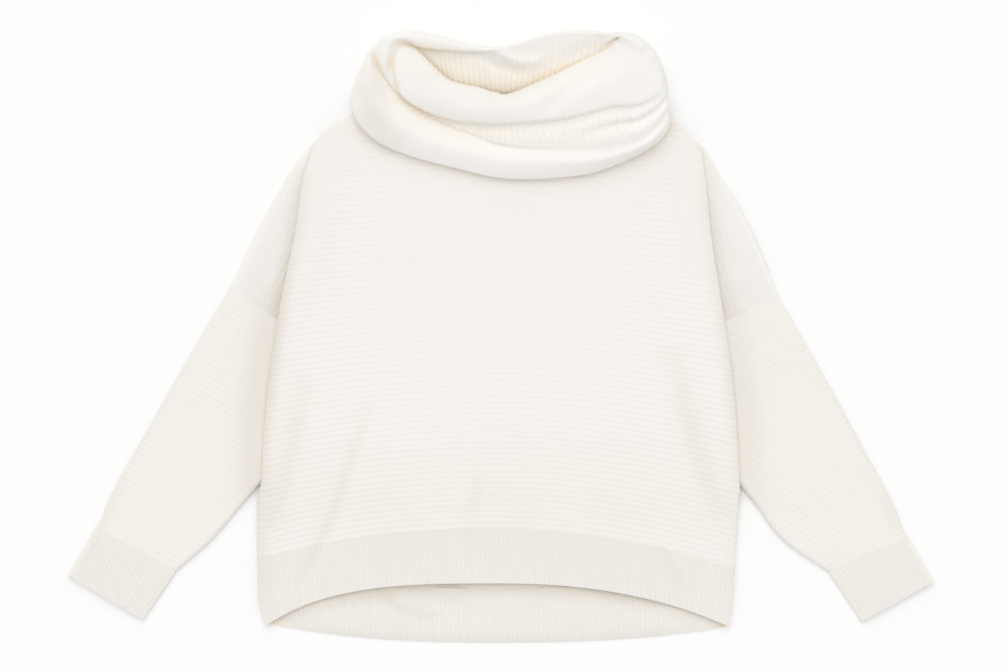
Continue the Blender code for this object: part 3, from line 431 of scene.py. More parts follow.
def fold_share(points, half_width, x, y):
    """How much there is, at places (x, y), of a fold along a line through these points. It
    dies out to both sides of the line, and towards its two ends."""
    best = np.full(np.shape(x), np.inf)
    place = np.zeros(np.shape(x))
    passed = 0.0
    for (ax, ay), (bx, by) in zip(points[:-1], points[1:]):
        dx, dy = bx - ax, by - ay
        length = np.hypot(dx, dy)
        t = np.clip(((x - ax) * dx + (y - ay) * dy) / length ** 2, 0, 1)
        away = np.hypot(x - ax - t * dx, y - ay - t * dy)
        place = np.where(away < best, passed + t * length, place)
        best = np.minimum(best, away)
        passed += length
    ends = np.sin(np.pi * np.clip(place / passed, 0, 1)) ** 0.5
    return ends * np.exp(-(best / half_width) ** 2)


def swell(x, y, size, seed, waves=7):
    """Soft irregular waves of about this size, from -1 to 1, the same each time."""
    rng = np.random.default_rng(seed)
    total = 0.0
    for _ in range(waves):
        turn, phase = rng.uniform(0, 2 * np.pi, 2)
        pitch = size * rng.uniform(0.7, 1.6)
        total = total + np.sin(2 * np.pi * (x * np.cos(turn) + y * np.sin(turn)) / pitch + phase)
    return total / waves ** 0.5 / 1.6


def normals(points, closed=False):
    """Unit normals of a grid of points. With closed, its columns join up."""
    if closed:
        across = np.roll(points, -1, axis=1) - np.roll(points, 1, axis=1)
    else:
        across = np.gradient(points, axis=1)
    found = np.cross(np.gradient(points, axis=0), across)
    return found / np.maximum(np.linalg.norm(found, axis=2, keepdims=True), 1e-9)


# --------------------------------------------------------------------------- meshing


SHOWN = {}                # the numbers of each piece's outer points, in grids


class Wall:
    """The points, faces and stitch map of one closed solid."""

    def __init__(self):
        self.points = np.zeros((0, 3))
        self.quads, self.quad_maps = [], []
        self.triangles = []
        self.shown = []

    def grid(self, points, stitches=None, closed=False):
        """Adds a grid of points as a surface, and gives their numbers. stitches holds the
        place of each point across and along the knit, in millimetres, with one column
        more than points has where the grid is closed."""
        rows, columns = points.shape[:2]
        numbers = np.arange(rows * columns).reshape(rows, columns) + len(self.points)
        self.points = np.concatenate([self.points, points.reshape(-1, 3)])
        if stitches is None:
            stitches = np.zeros((rows, columns + 1, 2))
        else:
            self.shown.append(numbers)
        wide = np.concatenate([numbers, numbers[:, :1]], axis=1) if closed else numbers
        for found, source in ((self.quads, wide), (self.quad_maps, stitches[:, :wide.shape[1]])):
            corners = (source[:-1, :-1], source[:-1, 1:], source[1:, 1:], source[1:, :-1])
            stacked = np.stack(corners, axis=2)
            found.append(stacked.reshape(-1, *stacked.shape[2:]))
        return numbers

    def strip(self, first, second, closed=False):
        """Joins two runs of points of any counts with a strip of triangles, each point to
        the ones nearest to it along the other run."""
        first, second = list(first), list(second)
        if closed:
            first, second = first + first[:1], second + second[:1]
        reach = []
        for run in (first, second):
            places = self.points[run]
            places[1:-1] = (places[:-2] + 2 * places[1:-1] + places[2:]) / 4
            found = distances(places)
            reach.append(found / max(found[-1], 1e-9))
        i = j = 0
        while i < len(first) - 1 or j < len(second) - 1:
            can_first = i < len(first) - 1
            can_second = j < len(second) - 1
            if can_first and (not can_second
                              or 2 * reach[0][i + 1] <= reach[1][j] + reach[1][j + 1]):
                self.triangles.append((first[i], first[i + 1], second[j]))
                i += 1
            else:
                self.triangles.append((first[i], second[j + 1], second[j]))
                j += 1

    def rim(self, outer, inner):
        """Joins two grids' numbers along all four of their edges."""
        for cut in (0, -1, (slice(None), 0), (slice(None), -1)):
            self.strip(outer[cut], inner[cut])

    def make(self, name, material):
        """The object of this solid, which replaces the frame's node of that name."""
        places = (self.points + [*CENTRING, 0.0]) * MM
        quads = np.concatenate(self.quads)
        faces = quads.tolist() + [list(map(int, t)) for t in self.triangles]
        mesh = bpy.data.meshes.new(name + "_knit")
        mesh.from_pydata(places.tolist(), [], faces)
        layer = mesh.uv_layers.new(name="stitches")
        maps = np.concatenate([np.concatenate(self.quad_maps).reshape(-1, 2),
                               np.zeros((3 * len(self.triangles), 2))])
        layer.data.foreach_set("uv", (maps * MM).ravel())
        solid = bmesh.new()
        solid.from_mesh(mesh)
        bmesh.ops.recalc_face_normals(solid, faces=solid.faces)
        if solid.calc_volume(signed=True) < 0:
            bmesh.ops.reverse_faces(solid, faces=solid.faces)
        solid.to_mesh(mesh)
        solid.free()
        mesh.shade_smooth()
        mesh.set_sharp_from_angle(angle=np.radians(58.0))
        mesh.materials.append(material)
        piece = bpy.data.objects.new(name + "_knit", mesh)
        bpy.context.collection.objects.link(piece)
        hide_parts(name)
        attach(piece, "root")
        SHOWN[piece.name] = self.shown
        return piece


# -------------------------------------------------------------------------- materials


class Nodes:
    """Short ways to add and link shader nodes."""

    def __init__(self, material):
        material.use_nodes = True
        self.tree = material.node_tree
        self.shader = self.tree.nodes["Principled BSDF"]

    def link(self, source, socket):
        if hasattr(source, "is_linked"):
            self.tree.links.new(source, socket)
        else:
            socket.default_value = source

    def add(self, kind, **values):
        node = self.tree.nodes.new("ShaderNode" + kind)
        for key, value in values.items():
            self.link(value, node.inputs[key])
        return node.outputs

    def math(self, operation, a, b=0.0, c=0.0):
        node = self.tree.nodes.new("ShaderNodeMath")
        node.operation = operation
        for value, socket in zip((a, b, c), node.inputs):
            self.link(value, socket)
        return node.outputs[0]

    def attribute(self, name):
        node = self.tree.nodes.new("ShaderNodeAttribute")
        node.attribute_name = name
        return node.outputs["Fac"]

    def noise(self, place, scale, detail, roughness):
        return self.add("TexNoise", Vector=place, Scale=scale, Detail=detail,
                        Roughness=roughness)["Fac"]

    def mix(self, share, a, b):
        node = self.tree.nodes.new("ShaderNodeMix")
        node.data_type = "RGBA"
        self.link(share, node.inputs["Factor"])
        for value, key in ((a, "A"), (b, "B")):
            socket = [s for s in node.inputs if s.name == key and s.type == "RGBA"][0]
            self.link(value, socket)
        return [s for s in node.outputs if s.type == "RGBA"][0]


WALE, COURSE = 1.7, 1.36  # width and height of one stitch, in millimetres
# The body's cream; the sleeves' cream below is a darker copy of it as painted shade, and the
# collar's a lighter one as painted light.
CREAM = (0.967, 0.944, 0.91)
SHADED_SLEEVE_CREAM = (0.932, 0.902, 0.86)
BAND_CREAM = (0.915, 0.889, 0.846)
LIT_COLLAR_CREAM = (0.985, 0.967, 0.93)
# Darker cream that the random uneven tone mixes towards, which is also the colour of the painted
# shade beside folds and in rib grooves.
CREAM_FOR_TONE_AND_PAINTED_SHADE = (0.80, 0.742, 0.655, 1)
# Colours of the painted shade in places deep between folds: for the bands and the collar, then for
# the body and the sleeves.
BAND_AND_COLLAR_PAINTED_SHADE = (0.99, 0.89, 0.735)
BODY_AND_SLEEVE_PAINTED_SHADE = (0.955, 0.91, 0.83)
FINISH = {"Roughness": 0.92, "Specular IOR Level": 0.25, "Sheen Weight": 0.25,
          "Sheen Roughness": 0.45, "Sheen Tint": (1.0, 0.97, 0.92, 1.0)}


def stitch_height(nodes, across, down):
    """One V for each wale and course, its legs slanting to the middle of the wale."""
    wale = nodes.math("FRACT", nodes.math("MULTIPLY", across, 1 / (WALE * MM)))
    leg = nodes.math("ABSOLUTE", nodes.math("SUBTRACT", wale, 0.5))
    slant = nodes.math("MULTIPLY", leg, 1.3)
    row = nodes.math("MULTIPLY_ADD", down, 1 / (COURSE * MM), slant)
    twist = nodes.math("COSINE", nodes.math("MULTIPLY", row, 2 * np.pi))
    offset = nodes.math("MULTIPLY", nodes.math("SUBTRACT", leg, 0.25), 4.0)
    body = nodes.math("SUBTRACT", 1.0, nodes.math("MULTIPLY", offset, offset))
    return nodes.math("MULTIPLY", body, nodes.math("MULTIPLY_ADD", twist, 0.35, 0.65))


# Where the rib grooves get painted shade.
def groove_depth(nodes, place, pitch):
    """1 in the middle of each groove between ribs, falling to 0 at 0.3 of the pitch off."""
    phase = nodes.math("FRACT", nodes.math("MULTIPLY_ADD", place, 1 / (pitch * MM), 0.5))
    away = nodes.math("ABSOLUTE", nodes.math("SUBTRACT", phase, 0.5))
    return nodes.math("MAXIMUM", nodes.math("MULTIPLY_ADD", away, -1 / 0.3, 1.0), 0.0)


def knit(name, colour, ribs_run, pitch, painted_shade_colour, groove):
    """A knit of this colour: stitches, fuzz and a soft uneven tone, with painted shade in the
    grooves between its ribs and beside its folds and edges, and a painted shade colour where
    it lies deep between folds; groove sets how much painted shade its rib grooves get
    everywhere."""
    material = bpy.data.materials.new(name)
    nodes = Nodes(material)
    places = nodes.tree.nodes.new("ShaderNodeUVMap")
    places.uv_map = "stitches"
    across, down, _ = nodes.add("SeparateXYZ", Vector=places.outputs["UV"])
    solid = nodes.add("TexCoord")["Object"]
    stitches = nodes.add("Bump", Height=stitch_height(nodes, across, down), Distance=0.0004,
                         Strength=0.5)["Normal"]
    fibres = nodes.add("Bump", Height=nodes.noise(solid, 1400.0, 3.0, 0.7), Distance=0.0003,
                       Strength=0.5, Normal=stitches)["Normal"]
    tufts = nodes.add("Bump", Height=nodes.noise(solid, 260.0, 4.0, 0.6), Distance=0.0006,
                      Strength=0.3, Normal=fibres)["Normal"]
    nodes.link(tufts, nodes.shader.inputs["Normal"])
    # Two painted shades kept at the points: by how deep a place lies between folds, and beside
    # folds and edges.
    hollow_shade, beside = nodes.attribute("hollow_shade"), nodes.attribute("painted_fold_shade")
    # Painted shade in the rib grooves, stronger where a place lies deep between folds.
    deep = groove_depth(nodes, down if ribs_run == "across" else across, pitch)
    deep = nodes.math("MULTIPLY", deep, nodes.math("MULTIPLY_ADD", hollow_shade, 0.8, groove))
    drift = nodes.math("MULTIPLY", nodes.noise(solid, 9.0, 3.0, 0.55), 0.16)
    # Share of the darker cream: the random uneven tone plus the painted shade beside folds, or
    # half the painted shade in the rib grooves, whichever is more.
    shade = nodes.math("MAXIMUM", nodes.math("ADD", drift, beside),
                       nodes.math("MULTIPLY", deep, 0.5))
    # Painted shade in places deep between folds, in its own colour.
    tone = nodes.mix(hollow_shade, (*colour, 1), (*painted_shade_colour, 1))
    nodes.link(nodes.mix(shade, tone, CREAM_FOR_TONE_AND_PAINTED_SHADE), nodes.shader.inputs["Base Color"])
    for key, value in FINISH.items():
        nodes.shader.inputs[key].default_value = value
    return material


# Each knit: base cream, colour of the painted shade in deep places, and how much painted shade its
# rib grooves get.
body_knit = knit("body_knit", CREAM, "across", BODY_RIB, BODY_AND_SLEEVE_PAINTED_SHADE, 0.25)
sleeve_knit = knit("sleeve_knit", SHADED_SLEEVE_CREAM, "across", SLEEVE_RIB, BODY_AND_SLEEVE_PAINTED_SHADE, 0.2)
band_knit = knit("band_knit", BAND_CREAM, "down", BAND_RIB, BAND_AND_COLLAR_PAINTED_SHADE, 0.5)
collar_knit = knit("collar_knit", LIT_COLLAR_CREAM, "down", COLLAR_RIB, BAND_AND_COLLAR_PAINTED_SHADE, 0.14)

# ----------------------------------------------------------------- front and its band


def front_top(x, y):
    """Height of the front's upper side."""
    left, right = body_edges(y)
    over_sleeve = smoothstep(UNDERARM[1] - 42.0, UNDERARM[0] + 18.0, y)
    fold_top = lerp(FOLD_TOP, SHOULDER_FOLD_TOP, smoothstep(*FOLD_SINKS, y))
    edge_top = lerp(EDGE_TOP, fold_top, over_sleeve)
    inside = np.minimum(x - left, right - x)
    near_edge = np.exp(-(np.maximum(inside - 17, 0) / 24.0) ** 2)
    z = lerp(PANEL_TOP, edge_top, near_edge)
    below_shoulder = np.clip((shoulder_y(x) - y) / SHOULDER_ROUND, 0, 1)
    near_tip = smoothstep(*SHOULDER_TIP, np.abs(x - NECK_CENTRE[0]))
    rounding = np.maximum(np.sqrt(1 - (1 - below_shoulder) ** 2), near_tip)
    z = lerp(SHOULDER_EDGE, z, rounding)
    for depth, half_width, *_, points in BODY_CREASES:
        z = z - depth * fold_share(points, half_width, x, y)
    for height, half_width, points in BODY_RIDGES:
        z = z + height * fold_share(points, half_width, x, y)
    soft = 0.35 * swell(x, y, 160.0, 3) + 0.15 * swell(x, y, 55.0, 4)
    return z + soft * smoothstep(0.0, 20.0, inside) * rounding


def across_front(y, flat, wrap):
    """Points of the front at these y. flat runs from 0 at the left edge to 1 at the right
    one, and wrap is the way round that edge in millimetres, from its upper side."""
    y, flat, wrap = np.broadcast_arrays(y, flat, wrap)
    left, right = body_edges(y)
    over_sleeve = smoothstep(UNDERARM[1], UNDERARM[0], y)
    below = lerp(EDGE_BELOW, FOLD_BELOW - wing_drop(y), over_sleeve)
    edge_x = np.where(flat < 0.5, left, right)
    outwards = np.where(flat < 0.5, -1.0, 1.0)
    top = front_top(edge_x - outwards * 4.0, y)
    radius = (top - below) / 2
    turn = np.minimum(wrap / radius, np.pi)
    back = np.maximum(wrap - np.pi * radius, 0.0) * tuck_share(y)
    x_round = edge_x - outwards * (radius - radius * np.sin(turn) + back)
    z_round = below + radius + radius * np.cos(turn)
    x_flat = lerp(left + radius, right - radius, flat)
    is_round = wrap > 0
    x = np.where(is_round, x_round, x_flat)
    z = np.where(is_round, z_round, front_top(x_flat, y))
    return np.stack([x, y, z], axis=-1)


def body_row(v, flat):
    """y of the body's courses at v from 0 at the neckline to 1 at the band seam."""
    middle = ARCHES["band_seam"][0] + SEAM_GAP
    neck = SHOULDER_LINE[-1][2]
    droop = (ARCHES["band_seam"][0] - band_seam(flat)) * v ** 1.3
    y = lerp(neck, middle, v) - droop
    shoulder = shoulder_y(lerp(*body_edges(SHOULDER_LINE[0][2]), flat))
    return y + (shoulder - neck) * (1 - v) ** 3


def body_phase(x, y):
    """Which rib of the body a place is on, counted down from the neckline."""
    left, right = body_edges(np.full(np.shape(x), -100.0))
    sag = ARCHES["band_seam"][0] - band_seam(np.clip((x - left) / (right - left), 0, 1))
    neck, middle = SHOULDER_LINE[-1][2], ARCHES["band_seam"][0]
    v = (neck - y) / (neck - middle)
    for _ in range(3):
        v = (neck - y - sag * np.clip(v, 0, 1.2) ** 0.7) / (neck - middle)
    return v * BODY_RIBS


def body_columns(flats, return_length, wraps):
    """flat and wrap of the body's columns, and how much of the rib each carries."""
    wrap = np.linspace(EDGE_WRAP + return_length, 0, wraps)[:-1]
    rib = 1 - smoothstep(0.0, EDGE_WRAP + 3.0, wrap)
    flat = np.concatenate([np.zeros(len(wrap)), np.linspace(0, 1, flats), np.ones(len(wrap))])
    return (flat, np.concatenate([wrap, np.zeros(flats), wrap[::-1]]),
            np.concatenate([rib, np.ones(flats), rib[::-1]]))


def wing_frame(plan):
    """A dropped shoulder's tip, its armhole's outer end and inner corner, the ways up along
    its outer edge and in from it, and how far in the corner lies."""
    tip = np.array(plan["shoulder"][0], float)
    foot, corner = np.array(plan["armhole"], float)
    rising = (tip - foot) / np.linalg.norm(tip - foot)
    inward = np.array([-plan["side"] * abs(rising[1]), -abs(rising[0])])
    return tip, foot, corner, rising, inward, (corner - foot) @ inward


def wing_grid(plan, offsets, shares, inset, drop):
    """Points of a dropped shoulder: rows parallel to its outer edge at these offsets from
    it, from the tuck under the fold (share 0) to the armhole seam (share 1)."""
    tip, foot, corner, rising, inward, depth = wing_frame(plan)
    grid = np.zeros((len(offsets), len(shares), 3))
    reach = np.linspace(0, 260, 521)
    for i, offset in enumerate(offsets):
        end = lerp(foot, corner, offset / depth)
        run = end + reach[:, None] * rising
        edge = body_edges(run[:, 1])[0 if plan["side"] < 0 else 1]
        wanted = TUCK * tuck_share(run[:, 1]) + inset
        missing = wanted - plan["side"] * (edge - run[:, 0])
        stop = np.argmax((missing < 0) | (run[:, 1] > TUCK_ENDS[1]))
        along_row = reach[stop] * (1 - shares)
        row = end + along_row[:, None] * rising
        row[:, 0] -= plan["side"] * max(missing[stop], 0.0) * (1 - shares) ** 8
        share = along_row / max(np.linalg.norm(tip - foot), 1)
        bow = WING_BOW * np.sin(np.pi * np.clip(share, 0, 1)) * np.exp(-offset / 25.0)
        grid[i, :, :2] = row - bow[:, None] * inward
        rise = np.sqrt(1 - (1 - np.clip(offset / 10.0, 0, 1)) ** 2)
        grid[i, :, 2] = lerp(SHOULDER_EDGE, SLEEVE_TOP, rise) - drop
        grid[i, :, 2] -= wing_drop(grid[i, :, 1]) * rise
    return grid


def upward(facing, row, column):
    """These normals, turned so that the one at row and column points up."""
    return facing * np.sign(facing[row, column, 2])


def add_wing(wall, name, outer_side, inner_side):
    """A dropped shoulder on the front's side fold, the fold's outer and inner points being
    given from the neckline down to where it leaves the shoulder."""
    plan = SLEEVE_PLAN[name]
    *_, depth = wing_frame(plan)
    offsets, shares = np.linspace(0, 0.99 * depth, 81), np.linspace(0, 1, 61)
    wing = wing_grid(plan, offsets, shares, 0.0, 0.0)
    ribs = rib_profile(offsets / SLEEVE_RIB)[:, None] * np.clip(3 * shares, 0, 1)
    wing[..., 2] += WING_SHARE * RIB_HEIGHT * ribs
    length = np.linalg.norm(wing[:, :1] - wing[:, -1:], axis=2)
    stitches = grid_of(shares * length, offsets[:, None] * BODY_RIB / SLEEVE_RIB)
    under = wing_grid(plan, np.linspace(0, offsets[-1], 12), shares[::12], INSIDE_REACH, WALL)
    top_ids, under_ids = wall.grid(wing, stitches), wall.grid(under)
    wall.strip(outer_side, top_ids[:, 0])
    wall.strip(inner_side, under_ids[:, 0])
    wall.strip((outer_side[0], top_ids[0, 0]), (inner_side[0], under_ids[0, 0]))
    for cut in (0, (slice(None), -1), -1):
        wall.strip(top_ids[cut], under_ids[cut])
    wall.strip((top_ids[-1, 0], outer_side[-1]), (under_ids[-1, 0], inner_side[-1]))


def make_front():
    wall = Wall()
    v = np.linspace(0, 1, RIB_POINTS * BODY_RIBS + 1)
    flat, wrap, rib = body_columns(96, FOLD_RETURN, 13)
    y = body_row(v[:, None], flat)
    smooth = across_front(y, flat, wrap)
    facing = upward(normals(smooth), len(v) // 2, len(flat) // 2)
    phase = body_phase(smooth[..., 0], smooth[..., 1])
    phase = phase + 0.07 * swell(smooth[..., 0], 5 * smooth[..., 1], 110.0, 5)
    low = smoothstep(60.0, -180.0, smooth[..., 1])
    aside = smoothstep(60.0, 220.0, np.abs(smooth[..., 0] - NECK_CENTRE[0]))
    clear = lerp(*BODY_SHARES, np.clip(0.55 * low + 0.6 * aside, 0, 1))
    raised = RIB_HEIGHT * clear * rib_profile(phase)
    outer = smooth + facing * (raised * rib)[..., None]
    stitches = grid_of(distances(smooth[len(v) // 2]), phase * BODY_RIB)

    fold_ends = int(np.argmax(y[:, 0] < WING_ENDS))
    turning = [np.argmax(y[:, 0] < height) for height in UNDERARM_ROWS]
    picked = np.unique(np.concatenate([
        np.linspace(0, fold_ends, 16), np.linspace(fold_ends, turning[0], 16), turning,
        np.linspace(turning[-1], len(v) - 1, 6)]).astype(int))
    inner_flat, inner_wrap, _ = body_columns(40, FOLD_RETURN + INSIDE_REACH, 9)
    plain = across_front(body_row(v[picked][:, None], inner_flat), inner_flat, inner_wrap)
    inner = plain - WALL * upward(normals(plain), len(picked) // 2, len(inner_flat) // 2)
    outer_ids, inner_ids = wall.grid(outer, stitches), wall.grid(inner)
    inner_ends = int(np.where(picked == fold_ends)[0][0])
    wall.strip(outer_ids[0], inner_ids[0])
    wall.strip(outer_ids[-1], inner_ids[-1])
    for name, column in (("left", 0), ("right", -1)):
        outer_side, inner_side = outer_ids[:, column], inner_ids[:, column]
        add_wing(wall, name, outer_side[:fold_ends + 1], inner_side[:inner_ends + 1])
        wall.strip(outer_side[fold_ends:], inner_side[inner_ends:])
    return wall.make("front_panel", body_knit)


def make_front_band():
    wall = Wall()
    round_length = np.pi * (EDGE_TOP - EDGE_BELOW) / 2
    total = FRONT_BAND_FLAT + 2 * round_length
    place = np.linspace(0, total, RIB_POINTS * BAND_RIBS + 1)

    def surface(places, shares):
        flat = np.clip((places - round_length) / FRONT_BAND_FLAT, 0, 1)
        wrap = np.maximum(round_length - places, places - round_length - FRONT_BAND_FLAT)
        start = band_seam(flat) - SEAM_GAP
        y = lerp(start, arch("front_hem", 2 * flat - 1), shares[:, None])
        return across_front(y, flat, np.maximum(wrap, 0))

    shares = np.linspace(0, 1, 15)
    smooth = surface(place, shares)
    smooth[..., 2] += 0.25 * np.sin(np.pi * shares)[:, None]
    facing = upward(normals(smooth), 3, len(place) // 2)
    raised = RIB_HEIGHT * rib_profile(place / total * BAND_RIBS)
    edge = smoothstep(2.0, 8.0, np.minimum(place, total - place))
    raised = lerp(-RIB_HEIGHT, raised, edge)
    outer = smooth + facing * raised[:, None]
    stitches = grid_of(place / total * BAND_RIBS * BAND_RIB, shares[:, None] * BAND_DEPTH)
    coarse = np.concatenate([[0, 3.5, 7], np.linspace(round_length, total - round_length, 120),
                             [total - 7, total - 3.5, total]])
    plain = surface(coarse, np.linspace(0, 1, 4))
    inner = plain - (BAND_WALL + RIB_HEIGHT) * upward(normals(plain), 0, len(coarse) // 2)
    wall.rim(wall.grid(outer, stitches), wall.grid(inner))
    return wall.make("hem_band_front", band_knit)


# ------------------------------------------------------------------ back and its band


def back_side(name, column):
    """The back's outline from the shoulder's tip down to the band, x being a column of
    BODY_EDGE. It stays inside the sleeve, and further down just inside the front."""
    plan = SLEEVE_PLAN[name]
    heights, edge = (np.array([row[k] for row in BODY_EDGE[::-1]]) for k in (0, column))
    points = [*along(plan["shoulder"], np.linspace(0, 1, 14))]
    foot, corner = (np.array(p, float) for p in plan["armhole"])
    points.append(lerp(foot, corner, 0.8))
    seam = float(arch("back_seam", plan["side"])) + SEAM_GAP
    for inset, rows in ((TUCK + 4.0, (24.0, -10.0, -27.0, -100.0, -150.0, -184.0)),
                        (0.5, (-206.0, -235.0, seam))):
        points += [(np.interp(y, heights, edge) - plan["side"] * inset, y) for y in rows]
    return points


def make_back():
    """The back panel: a thin flat slab under the rest."""
    u = np.linspace(1, -1, 41)[1:-1]
    y = arch("back_seam", u)
    seam = np.stack([lerp(*body_edges(y), (u + 1) / 2), y + SEAM_GAP], axis=1)
    turn = np.radians(np.linspace(180, 0, 25))
    neck = np.stack([NECK_CENTRE[0] + (NECK_RADII[0] + 8) * np.cos(turn),
                     NECK_CENTRE[1] + 2 + (NECK_RADII[1] + 3) * np.sin(turn)], axis=1)
    outline = [*neck, (204, 266), (212, 258), *back_side("right", 2), *seam,
               *back_side("left", 1)[::-1], (-197, 258), (-180, 268)]
    wall = Wall()
    solid = bmesh.new()
    face = solid.faces.new([solid.verts.new((*place, 0.0)) for place in outline])
    raised = bmesh.ops.extrude_face_region(solid, geom=[face])["geom"]
    tops = [item for item in raised if isinstance(item, bmesh.types.BMVert)]
    bmesh.ops.translate(solid, verts=tops, vec=(0, 0, BACK_TOP))
    bmesh.ops.triangulate(solid, faces=solid.faces)
    solid.verts.index_update()
    wall.points = np.array([v.co[:] for v in solid.verts])
    wall.triangles = [[v.index for v in f.verts] for f in solid.faces]
    wall.quads, wall.quad_maps = [np.zeros((0, 4), int)], [np.zeros((0, 4, 2))]
    solid.free()
    return wall.make("back_panel", body_knit)


def make_back_band():
    wall = Wall()
    flat = np.linspace(0, 1, RIB_POINTS * BAND_RIBS + 1)

    def rows(shares, at):
        u = 2 * at - 1
        y = lerp(arch("back_seam", u) - SEAM_GAP, arch("back_hem", u), shares)
        left, right = body_edges(y)
        return lerp(left + 0.5, right - 0.5, at), y

    shares = np.linspace(0, 1, 15)[:, None]
    x, y = rows(shares, flat)
    z = 1.9 + RIB_HEIGHT * rib_profile(flat * BAND_RIBS) * np.clip(4 * shares, 0, 1)
    for height, half_width, points in BACK_BAND_FOLDS:
        z = z + height * fold_share(points, half_width, x, y)
    z = z + 0.3 * np.sin(np.pi * shares)
    loft = smoothstep(0.25, 0.75, shares) * np.sqrt(1 - shares ** 12)
    z = z + BACK_BAND_LOFT * loft * smoothstep(0.02, 0.16, np.minimum(flat, 1 - flat))
    outer_ids = wall.grid(np.stack([x, y, z], axis=-1),
                          grid_of(flat * BAND_RIBS * BAND_RIB, shares * BAND_DEPTH))
    x, y = rows(shares[[0, -1]], np.linspace(0, 1, 121))
    wall.rim(outer_ids, wall.grid(np.stack([x, y, 0 * y], axis=-1)))
    return wall.make("hem_band_back", band_knit)


# -------------------------------------------------------------------- sleeves and cuffs

SIDE_COLUMNS = 9          # points round each side of a flattened tube
UNDER_SECTION = ((0.0, 12.0, 0.0), (1.0, 12.0, 0.0))  # its flat underside, as below


def tube_section(count, height, thick=0.0):
    """Places across a flattened tube from the outer edge's foot over the top to the inner
    edge's foot: share across, inset from that side's edge, and height."""
    top, foot = height - thick, thick
    radius = (top - foot) / 2
    turns = np.radians(np.linspace(-65, 90, SIDE_COLUMNS))
    rows = [(0.0, thick + 1.5 * radius * (1 - np.cos(t)), foot + radius * (1 + np.sin(t)))
            for t in turns]
    inset = rows[-1][1]
    rows[0] = (0.0, rows[0][1], foot)
    middle = [(share, inset * (1 - 2 * share), top) for share in np.linspace(0, 1, count)[1:-1]]
    other = [(1.0, inset_, z) for _, inset_, z in rows[::-1]]
    return rows + middle + other


def across_tube(outer_edge, inner_edge, section):
    """Rows of a flattened tube between its outer and inner edges (a point each row)."""
    width = np.linalg.norm(inner_edge - outer_edge, axis=1)[:, None]
    way = (inner_edge - outer_edge) / width
    grid = []
    for share, inset, z in section:
        place = outer_edge + way * (share * width + (-inset if share == 1.0 else inset))
        grid.append(np.concatenate([place, np.full((len(place), 1), float(z))], axis=1))
    return np.stack(grid, axis=1)


def sleeve_edges(plan, t):
    """Outer and inner edge of a sleeve at t, from 0 at the armhole to 1 at the cuff."""
    shift, where = plan["bulge"]
    foot, end = (np.array(p, float) for p in (plan["armhole"][0], plan["cuff_seam"][0]))
    down = (end - foot) / np.linalg.norm(end - foot)
    outward = np.array([plan["side"] * abs(down[1]), abs(down[0])])
    swelling = np.exp(-((t - where) / 0.12) ** 2) - np.exp(-((t - 0.97) / 0.05) ** 2)
    outer = lerp(foot + SEAM_GAP * down, end - SEAM_GAP * down, t[:, None])
    outer = outer + outward * (shift * swelling + SLEEVE_BOW * np.sin(np.pi * t))[:, None]
    inner = along(plan["inner"], t)
    inner[:, 1] -= SEAM_GAP * (1 - t)
    return outer, inner


def tube(wall, outer_surface, stitches, under_rows, inner_surface):
    """Closes a flattened tube: its ribbed top, its flat underside and its plain inside,
    joined round both open ends, where their columns at each side meet one to one."""
    top = wall.grid(outer_surface, stitches)
    under = wall.grid(under_rows)
    inside = wall.grid(inner_surface, closed=True)
    wall.strip(top[:, 0], under[:, 0])
    wall.strip(top[:, -1], under[:, -1])
    n, m = top.shape[1], inside.shape[1]
    keys = [(k, k) for k in range(SIDE_COLUMNS)]
    keys += [(n - k, m - k) for k in range(SIDE_COLUMNS, 0, -1)]
    for end in (0, -1):
        for first, second in zip(keys[:-1], keys[1:]):
            wall.strip(top[end, first[0]:second[0] + 1], inside[end, first[1]:second[1] + 1])
        wall.strip((top[end, -1], *under[end][::-1], top[end, 0]),
                   (inside[end, -1], inside[end, 0]))


def make_sleeve(name):
    plan = SLEEVE_PLAN[name]
    wall = Wall()
    t = np.linspace(0, 1, RIB_POINTS * SLEEVE_RIBS + 1)
    smooth = across_tube(*sleeve_edges(plan, t), tube_section(44, SLEEVE_TOP))
    columns = smooth.shape[1]
    x, y = smooth[..., 0], smooth[..., 1]
    side = np.minimum(np.arange(columns), np.arange(columns)[::-1])
    on_top = smoothstep(3.0, SIDE_COLUMNS + 3.0, side)
    for depth, half_width, points in SLEEVE_FOLDS[name]:
        smooth[..., 2] -= depth * fold_share(points, half_width, x, y) * on_top
    smooth[..., 2] += (0.35 * swell(x, y, 120.0, 11) + 0.15 * swell(x, y, 45.0, 12)) * on_top
    facing = upward(normals(smooth), len(t) // 2, columns // 2)
    amount = smoothstep(1.0, 6.0, side)
    waver = 0.05 * swell(4 * x, y, 80.0, 13)
    raised = SLEEVE_SHARE * RIB_HEIGHT * rib_profile(t[:, None] * SLEEVE_RIBS + waver)
    outer = smooth + facing * (raised * amount)[..., None]
    outer[:, (0, -1), 2] = 0.0
    width = np.linalg.norm(smooth[:, 0] - smooth[:, -1], axis=1)
    stitches = grid_of(np.linspace(-0.5, 0.5, columns) * width[:, None],
                       t[:, None] * SLEEVE_RIBS * SLEEVE_RIB)
    edges = sleeve_edges(plan, t[::14])
    under = across_tube(*edges, UNDER_SECTION)
    inside = across_tube(*edges, tube_section(12, SLEEVE_TOP - 1.2, WALL))
    tube(wall, outer, stitches, under, inside)
    return wall.make("sleeve_" + name, sleeve_knit)


